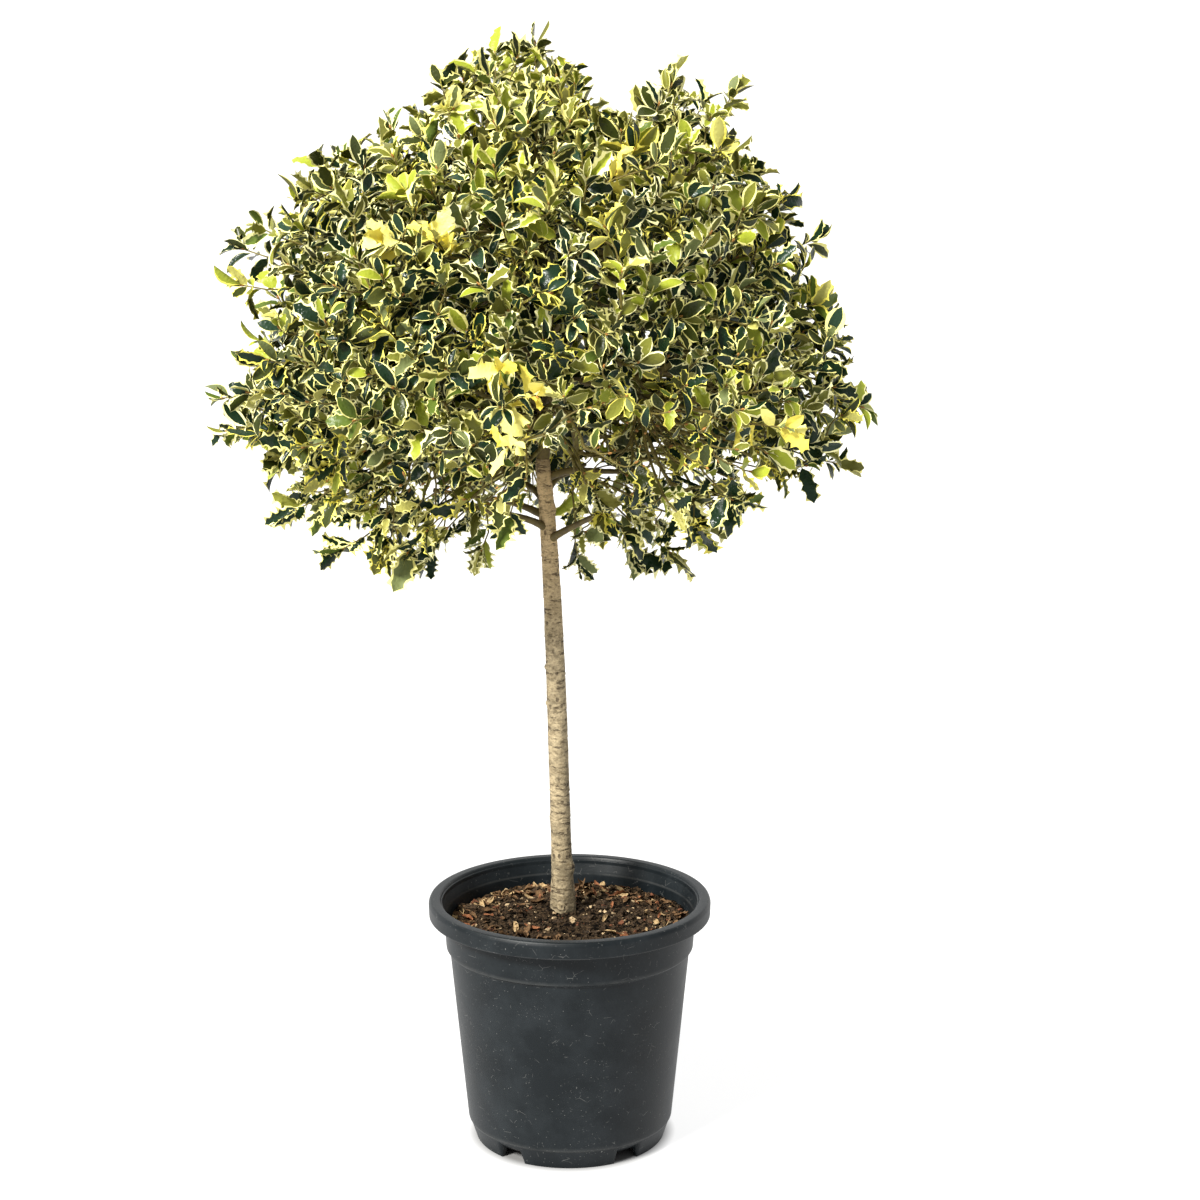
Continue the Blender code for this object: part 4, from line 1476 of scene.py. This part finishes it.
class Leaves:
    """Every leaf of the crown: where it starts, which way it points and faces, its size and its tones."""

    def __init__(self, leaf, limbs):
        lines = grown_crown()[1]
        rng = np.random.default_rng(limbs.seed + 1)
        tips = lines[:, -1]
        middle = crown_middle()
        each = leaf.rosette + leaf.lower
        self.shoot = np.repeat(np.arange(len(lines)), each)
        self.rank = np.tile(np.arange(each), len(lines))
        self.count = len(self.shoot)
        self.crowded = self.rank < leaf.rosette
        lower = LOWER_START + (self.rank - leaf.rosette + 1) * LOWER_STEP
        back = np.where(self.crowded, self.rank * ROSETTE_STEP, lower) + rng.uniform(0, 0.003, self.count)
        self.base, axis = along_lines(lines[self.shoot], back)
        self.outward = unit(self.base - middle)
        self.low = smooth_step(self.outward[:, 2], -0.15, -0.75)
        self.high = smooth_step(self.base[:, 2], 1.22, 1.48)
        inside = np.clip(0.42 - lengths(tips - middle), 0, 0.3)
        fallen = 0.04 + (0.12 + inside + openness(tips) * 0.5)[self.shoot] * ~self.crowded
        on_line = back <= lengths(np.diff(lines, axis=1)).sum(1)[self.shoot] * 0.8
        keep = on_line & (rng.random(self.count) > fallen) & ~in_window(self.base)
        self.set_directions(rng, axis)
        self.set_sizes(leaf, rng)
        self.set_tones(rng, tips)
        self.middles = self.base + self.along * self.length[:, None] * 0.5
        self.keep = keep & ~in_window(self.middles) & (rng.random(self.count) > bareness(self.middles))

    def set_directions(self, rng, axis):
        """Leaves turn round the shoot by the golden angle, lean out more the further down they sit, sink
        a little under their weight low in the crown, and turn their faces to the light."""
        count, crowded = self.count, self.crowded
        side = unit(np.cross(axis, least_axis(axis)))
        start = rng.random(self.shoot[-1] + 1)[self.shoot] * 2 * pi
        turn = self.rank * GOLDEN_ANGLE + start + rng.normal(size=count) * 0.25
        spoke = side * np.cos(turn)[:, None] + np.cross(axis, side) * np.sin(turn)[:, None]
        lean = np.where(crowded, radians(26) + self.rank * radians(7), radians(58))
        lean = lean + rng.normal(size=count) * 0.28
        along = axis * np.cos(lean)[:, None] + spoke * np.sin(lean)[:, None]
        along = along + UP * (0.10 - 0.50 * self.low * rng.uniform(0.3, 1.3, count))[:, None]
        along = along + unit(self.outward * (1, 1, 0.2)) * (0.75 * self.low)[:, None]
        self.along = unit(along)
        face = axis * 0.6 + UP * 0.50 + rng.normal(size=(count, 3)) * 0.66
        face = unit(face - dot(face, self.along) * self.along)
        away = (dot(face, self.outward) < TURNED_AWAY) & (rng.random((count, 1)) < 0.55)
        self.face = np.where(away, -face, face)

    def set_sizes(self, leaf, rng):
        """Low leaves are larger and more often spiny, and their teeth longer. Margins are broadest high up
        and low down; the extra cream high up is partly the leaves' own and partly painted light on the
        crown's top."""
        count, low = self.count, self.low
        spiny = rng.random(count) < 0.42 + 0.50 * low
        toothed = rng.random(count) < 0.58
        thorny = spiny & (rng.random(count) < 0.75 * smooth_step(low, 0.35, 0.75))
        self.form = np.select((thorny, spiny, toothed), (THORNY, SPINY, TOOTHED), ENTIRE)
        sharp, blunt = rng.uniform(0.45, 1.15, count) + 0.2 * low, rng.uniform(0.0, 1.2, count)
        self.teeth = np.where(spiny, sharp, blunt)
        grow = rng.lognormal(0.0, 0.25, count) * np.where(self.crowded, 0.97, 1.03)
        self.length = leaf.length * np.clip(grow, 0.50, 1.42) * np.where(spiny, 1.08 + 0.26 * low, 1.0)
        self.length *= 1 - 0.30 * bareness(self.base)
        self.width = leaf.width / 2 * rng.uniform(0.84, 1.16, count)
        self.fold = leaf.fold * rng.uniform(0.1, 1.9, count)
        self.curl = leaf.curl * rng.uniform(-0.2, 2.0, count)
        self.sway = np.where(spiny, 0.30, 0.12) * rng.uniform(0.5, 1.5, count)
        self.margin = leaf.margin * np.clip(rng.lognormal(0, 0.38, count), 0.50, 2.2)
        # Broader margins high up partly paint light on the crown's top
        self.margin *= 1 + 0.5 * self.high + 0.3 * low

    def set_tones(self, rng, tips):
        """A spray shares one green, with some leaves of any other. High up leaves are moved to lighter
        greens, partly yellower leaves and partly painted light on the crown's top; low down to darker ones,
        partly their own darker green and partly painted shade under the crown. A leaf that turns its back
        outwards shows the tone of the underside."""
        count, shoot = self.count, self.shoot
        own = rng.choice(len(GREENS), len(tips), p=GREEN_SHARES)[shoot]
        other = rng.choice(len(GREENS), count, p=GREEN_SHARES)
        green = np.where(rng.random(count) < 0.5, own, other)
        # Painted light high up and painted shade low down, besides the leaves' own tones: the green moves
        # two tones
        lighter = rng.random(count) < 0.75 * self.high
        darker = rng.random(count) < 0.40 * self.low
        green = np.clip(green + 2 * lighter - 2 * darker, 0, len(GREENS) - 1)
        pale = FIRST_UNDERSIDE + rng.choice(len(UNDERSIDES), count)
        green = np.where(np.sum(self.face * self.outward, axis=1) < TURNED_AWAY, pale, green)
        margin = FIRST_MARGIN + rng.choice(len(MARGINS), len(tips), p=MARGIN_SHARES)[shoot]
        gold = np.isin(shoot, golden_shoots(tips, rng)) & (rng.random(count) < 0.92)
        golden = FIRST_GOLD + rng.choice(len(GOLDS), count, p=GOLD_SHARES)
        self.green = np.where(gold, golden, green)
        self.cream = np.where(gold, golden, margin)

    def mesh(self, which, seed):
        """Points, faces and material picks of the chosen leaves."""
        rng = np.random.default_rng(seed)
        parts, picks = [], []
        for number, form in enumerate(LEAF_FORMS):
            chosen = which[self.form[which] == number]
            faces = [repeated(group, len(chosen), len(form.u)) for group in (form.quads, form.fans)]
            parts.append((self.blades(form, chosen, rng), faces))
            each = np.where(form.margin_faces(), self.cream[chosen][:, None], self.green[chosen][:, None])
            picks += [group.ravel() for group in np.split(each, [len(form.quads)], axis=1)]
        return *joined(parts), np.concatenate(picks)

    def blades(self, form, chosen, rng):
        """The points of chosen leaves of one form.

        A point lies on an arc that bends down from the leaf's foot, moved across by its share of the
        half width, and raised by the fold and by the sway of the margin.
        """
        names = ("length", "width", "fold", "curl", "sway", "teeth", "margin", "base", "along", "face")
        length, width, fold, curl, sway, teeth, margin, base, along, face = (
            getattr(self, name)[chosen][:, None] for name in names
        )
        width = width * length
        bend = np.where(np.abs(curl) < LEAST_CURL, LEAST_CURL, curl)
        jitter = rng.uniform(-0.10, 0.10, (len(chosen), len(form.u)))
        v = form.v + form.teeth * teeth
        v = v * np.where(form.inner, 1 - margin + jitter * 0.6, 1.0)
        v = v + np.where(form.inner | (form.v == 0), 0.0, jitter * 0.35)
        u = form.u
        ripple = np.sin(u * 9 + rng.random((len(chosen), 1)) * 6 + np.sign(v)) * np.abs(v) * 0.5
        rise = width * (np.abs(v) * np.sin(fold) + sway * (form.sway + ripple))
        points = (
            base
            + along * (length * np.sin(bend * u) / bend)[..., None]
            + np.cross(along, face) * (width * v * np.cos(fold))[..., None]
            + face * (rise - length * (1 - np.cos(bend * u)) / bend)[..., None]
        )
        return points.reshape(-1, 3)


def leaf_groups():
    """The pieces that the leaves are joined into, each with the foliage masses that it stands for."""
    names, cloud, owners = mass_points()
    middles = np.array([cloud[owners == i].mean(0) for i in range(len(names))])
    groups = {}
    for name, middle in zip(names, middles):
        tier = name.split("_")[1]
        side = "left" if middle[0] < crown_middle()[0] else "right"
        depth = "front" if middle[1] < crown_middle()[1] else "back"
        label = "leaves_top" if tier in ("crest", "top") else f"leaves_{tier}_{depth}"
        if tier == "belt":
            label = f"{label}_{side}"
        groups.setdefault(label, []).append(name)
    return names, middles, groups


class HollyLeaves(bpy.types.Operator):
    """Dresses every shoot with its spray of leaves, joined into pieces by their place in the crown"""

    bl_idname = "holly.leaves"
    bl_label = "Leaves"

    def execute(self, context):
        leaves = Leaves(context.scene.holly_leaves, context.scene.holly_limbs)
        finishes = [leaf_finish(*tone) for tone in TONES]
        names, middles, groups = leaf_groups()
        apart = np.linalg.norm(leaves.middles[:, None] - middles, axis=2)
        nearest = np.argmin(apart, axis=1)
        for number, (label, members) in enumerate(sorted(groups.items())):
            mine = np.isin(nearest, [names.index(name) for name in members]) & leaves.keep
            points, faces, picks = leaves.mesh(np.flatnonzero(mine), 100 + number)
            piece = new_piece(label, points, faces, finishes, picks)
            as_root_piece(piece, "foliage", *members)
        return {"FINISHED"}


class HollyBuds(bpy.types.Operator):
    """Sets a pointed bud on the end of every shoot: a short tube that swells and closes"""

    bl_idname = "holly.buds"
    bl_label = "Buds"

    def execute(self, context):
        limbs = context.scene.holly_limbs
        lines = grown_crown()[1]
        heading = unit(lines[:, -1] - lines[:, -2])[:, None]
        run = np.array((-0.0010, 0.0015, 0.0040, 0.0058))[:, None]
        spines = lines[:, -1:] + heading * run
        radii = np.tile((0.0010, 0.0017, 0.0013, 0.0003), (len(lines), 1))
        finish = wood_finish("holly bud", limbs.bud_colour, limbs.bud_marks, 400)
        piece = new_piece("buds", *tubes(spines, radii, 5), [finish])
        as_root_piece(piece, "foliage")
        return {"FINISHED"}


# Stage

# The way to the soft light
TO_KEY = (-0.62, -0.68, 0.76)

# The floor's own light starts at the first radius, under the pot, and is full at the second, so the dim
# ring between them is a painted contact shadow round the pot's foot
GLOW_RADII = (0.130, 0.152)


class HollyStage(bpy.types.Operator):
    """Sets the floor, the soft light and the camera"""

    bl_idname = "holly.stage"
    bl_label = "Stage"

    def execute(self, context):
        stage = context.scene.holly_stage
        self.lay_floor(stage)
        self.hang_light(context, stage)
        self.place_camera(context, stage)
        return {"FINISHED"}

    def lay_floor(self, stage):
        """A level floor that sweeps up behind the plant: a quarter of a circle, then a straight wall."""
        half, sweep, back = stage.floor_size, stage.floor_sweep, stage.floor_back
        turn = np.linspace(0, pi / 2, 25)
        depth = np.concatenate(([-half], back + sweep * np.sin(turn), [back + sweep]))
        height = np.concatenate(([0.0], sweep * (1 - np.cos(turn)), [half]))
        left, right = (np.stack((0 * depth + x, depth, height), axis=1) for x in (-half, half))
        row = np.arange(len(depth) - 1)
        faces = np.stack((row, row + len(depth), row + len(depth) + 1, row + 1), axis=1)
        finish = Finish("holly studio floor", stage.floor_colour, 0.9)
        grain = finish.noise(6, 2)
        finish.set("Roughness", 0.85 + grain * 0.1)
        finish.set("Specular IOR Level", 0.1)
        out = finish.node("ShaderNodeVectorMath", {"operation": "LENGTH"}, {0: finish.place()}, "Value")
        # No glow under the pot and little just round it: painted contact shadow
        glow = finish.mix(out.above(*GLOW_RADII), (0.0, 0.0, 0.0), (1.0, 1.0, 1.0))
        finish.set("Emission Color", glow)
        finish.set("Emission Strength", stage.glow)
        floor = new_piece("studio_floor", np.concatenate((left, right)), [faces], [finish.material])

    def hang_light(self, context, stage):
        world = bpy.data.worlds.new("holly studio")
        world.use_nodes = True
        sky = world.node_tree.nodes["Background"].inputs
        sky["Color"].default_value = (1.0, 1.0, 1.0, 1.0)
        sky["Strength"].default_value = stage.ambient
        context.scene.world = world
        lamp = bpy.data.lights.new("key", "SUN")
        lamp.energy = stage.key
        lamp.angle = stage.key_angle
        lamp.color = stage.key_colour
        key = bpy.data.objects.new("key", lamp)
        key.rotation_euler = Vector(TO_KEY).to_track_quat("Z", "Y").to_euler()
        context.scene.collection.objects.link(key)
        context.scene.view_settings.view_transform = "Standard"

    def place_camera(self, context, stage):
        data = bpy.data.cameras.new("front")
        data.lens = stage.lens
        data.sensor_width = stage.sensor
        camera = bpy.data.objects.new("front", data)
        camera.location = (stage.camera_x, stage.camera_y, stage.camera_z)
        camera.rotation_euler = (pi / 2 - stage.pitch, 0.0, 0.0)
        context.scene.collection.objects.link(camera)
        context.scene.camera = camera


class HollyPanel(bpy.types.Panel):
    """Lists the steps that make the potted holly, in order"""

    bl_idname = "VIEW3D_PT_holly"
    bl_label = "Potted Holly"
    bl_space_type = "VIEW_3D"
    bl_region_type = "UI"
    bl_category = "Holly"

    def draw(self, context):
        for step in STEPS:
            self.layout.operator(step.bl_idname)


STEPS = (HollyPot, HollyCompost, HollyLitter, HollyTrunk, HollyLimbs, HollyBuds, HollyLeaves, HollyStage)


def register():
    for group in SETTINGS.values():
        bpy.utils.register_class(group)
    for name, group in SETTINGS.items():
        setattr(bpy.types.Scene, name, PointerProperty(type=group))
    for made in (*STEPS, HollyPanel):
        bpy.utils.register_class(made)


def unregister():
    for made in reversed((*STEPS, HollyPanel)):
        bpy.utils.unregister_class(made)
    for name, group in SETTINGS.items():
        delattr(bpy.types.Scene, name)
        bpy.utils.unregister_class(group)


def main():
    """Makes every piece round the frame."""
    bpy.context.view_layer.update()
    register()
    bpy.ops.holly.pot()
    bpy.ops.holly.compost()
    bpy.ops.holly.litter()
    bpy.ops.holly.trunk()
    bpy.ops.holly.limbs()
    bpy.ops.holly.buds()
    bpy.ops.holly.leaves()
    bpy.ops.holly.stage()


if __name__ == "__main__":
    main()
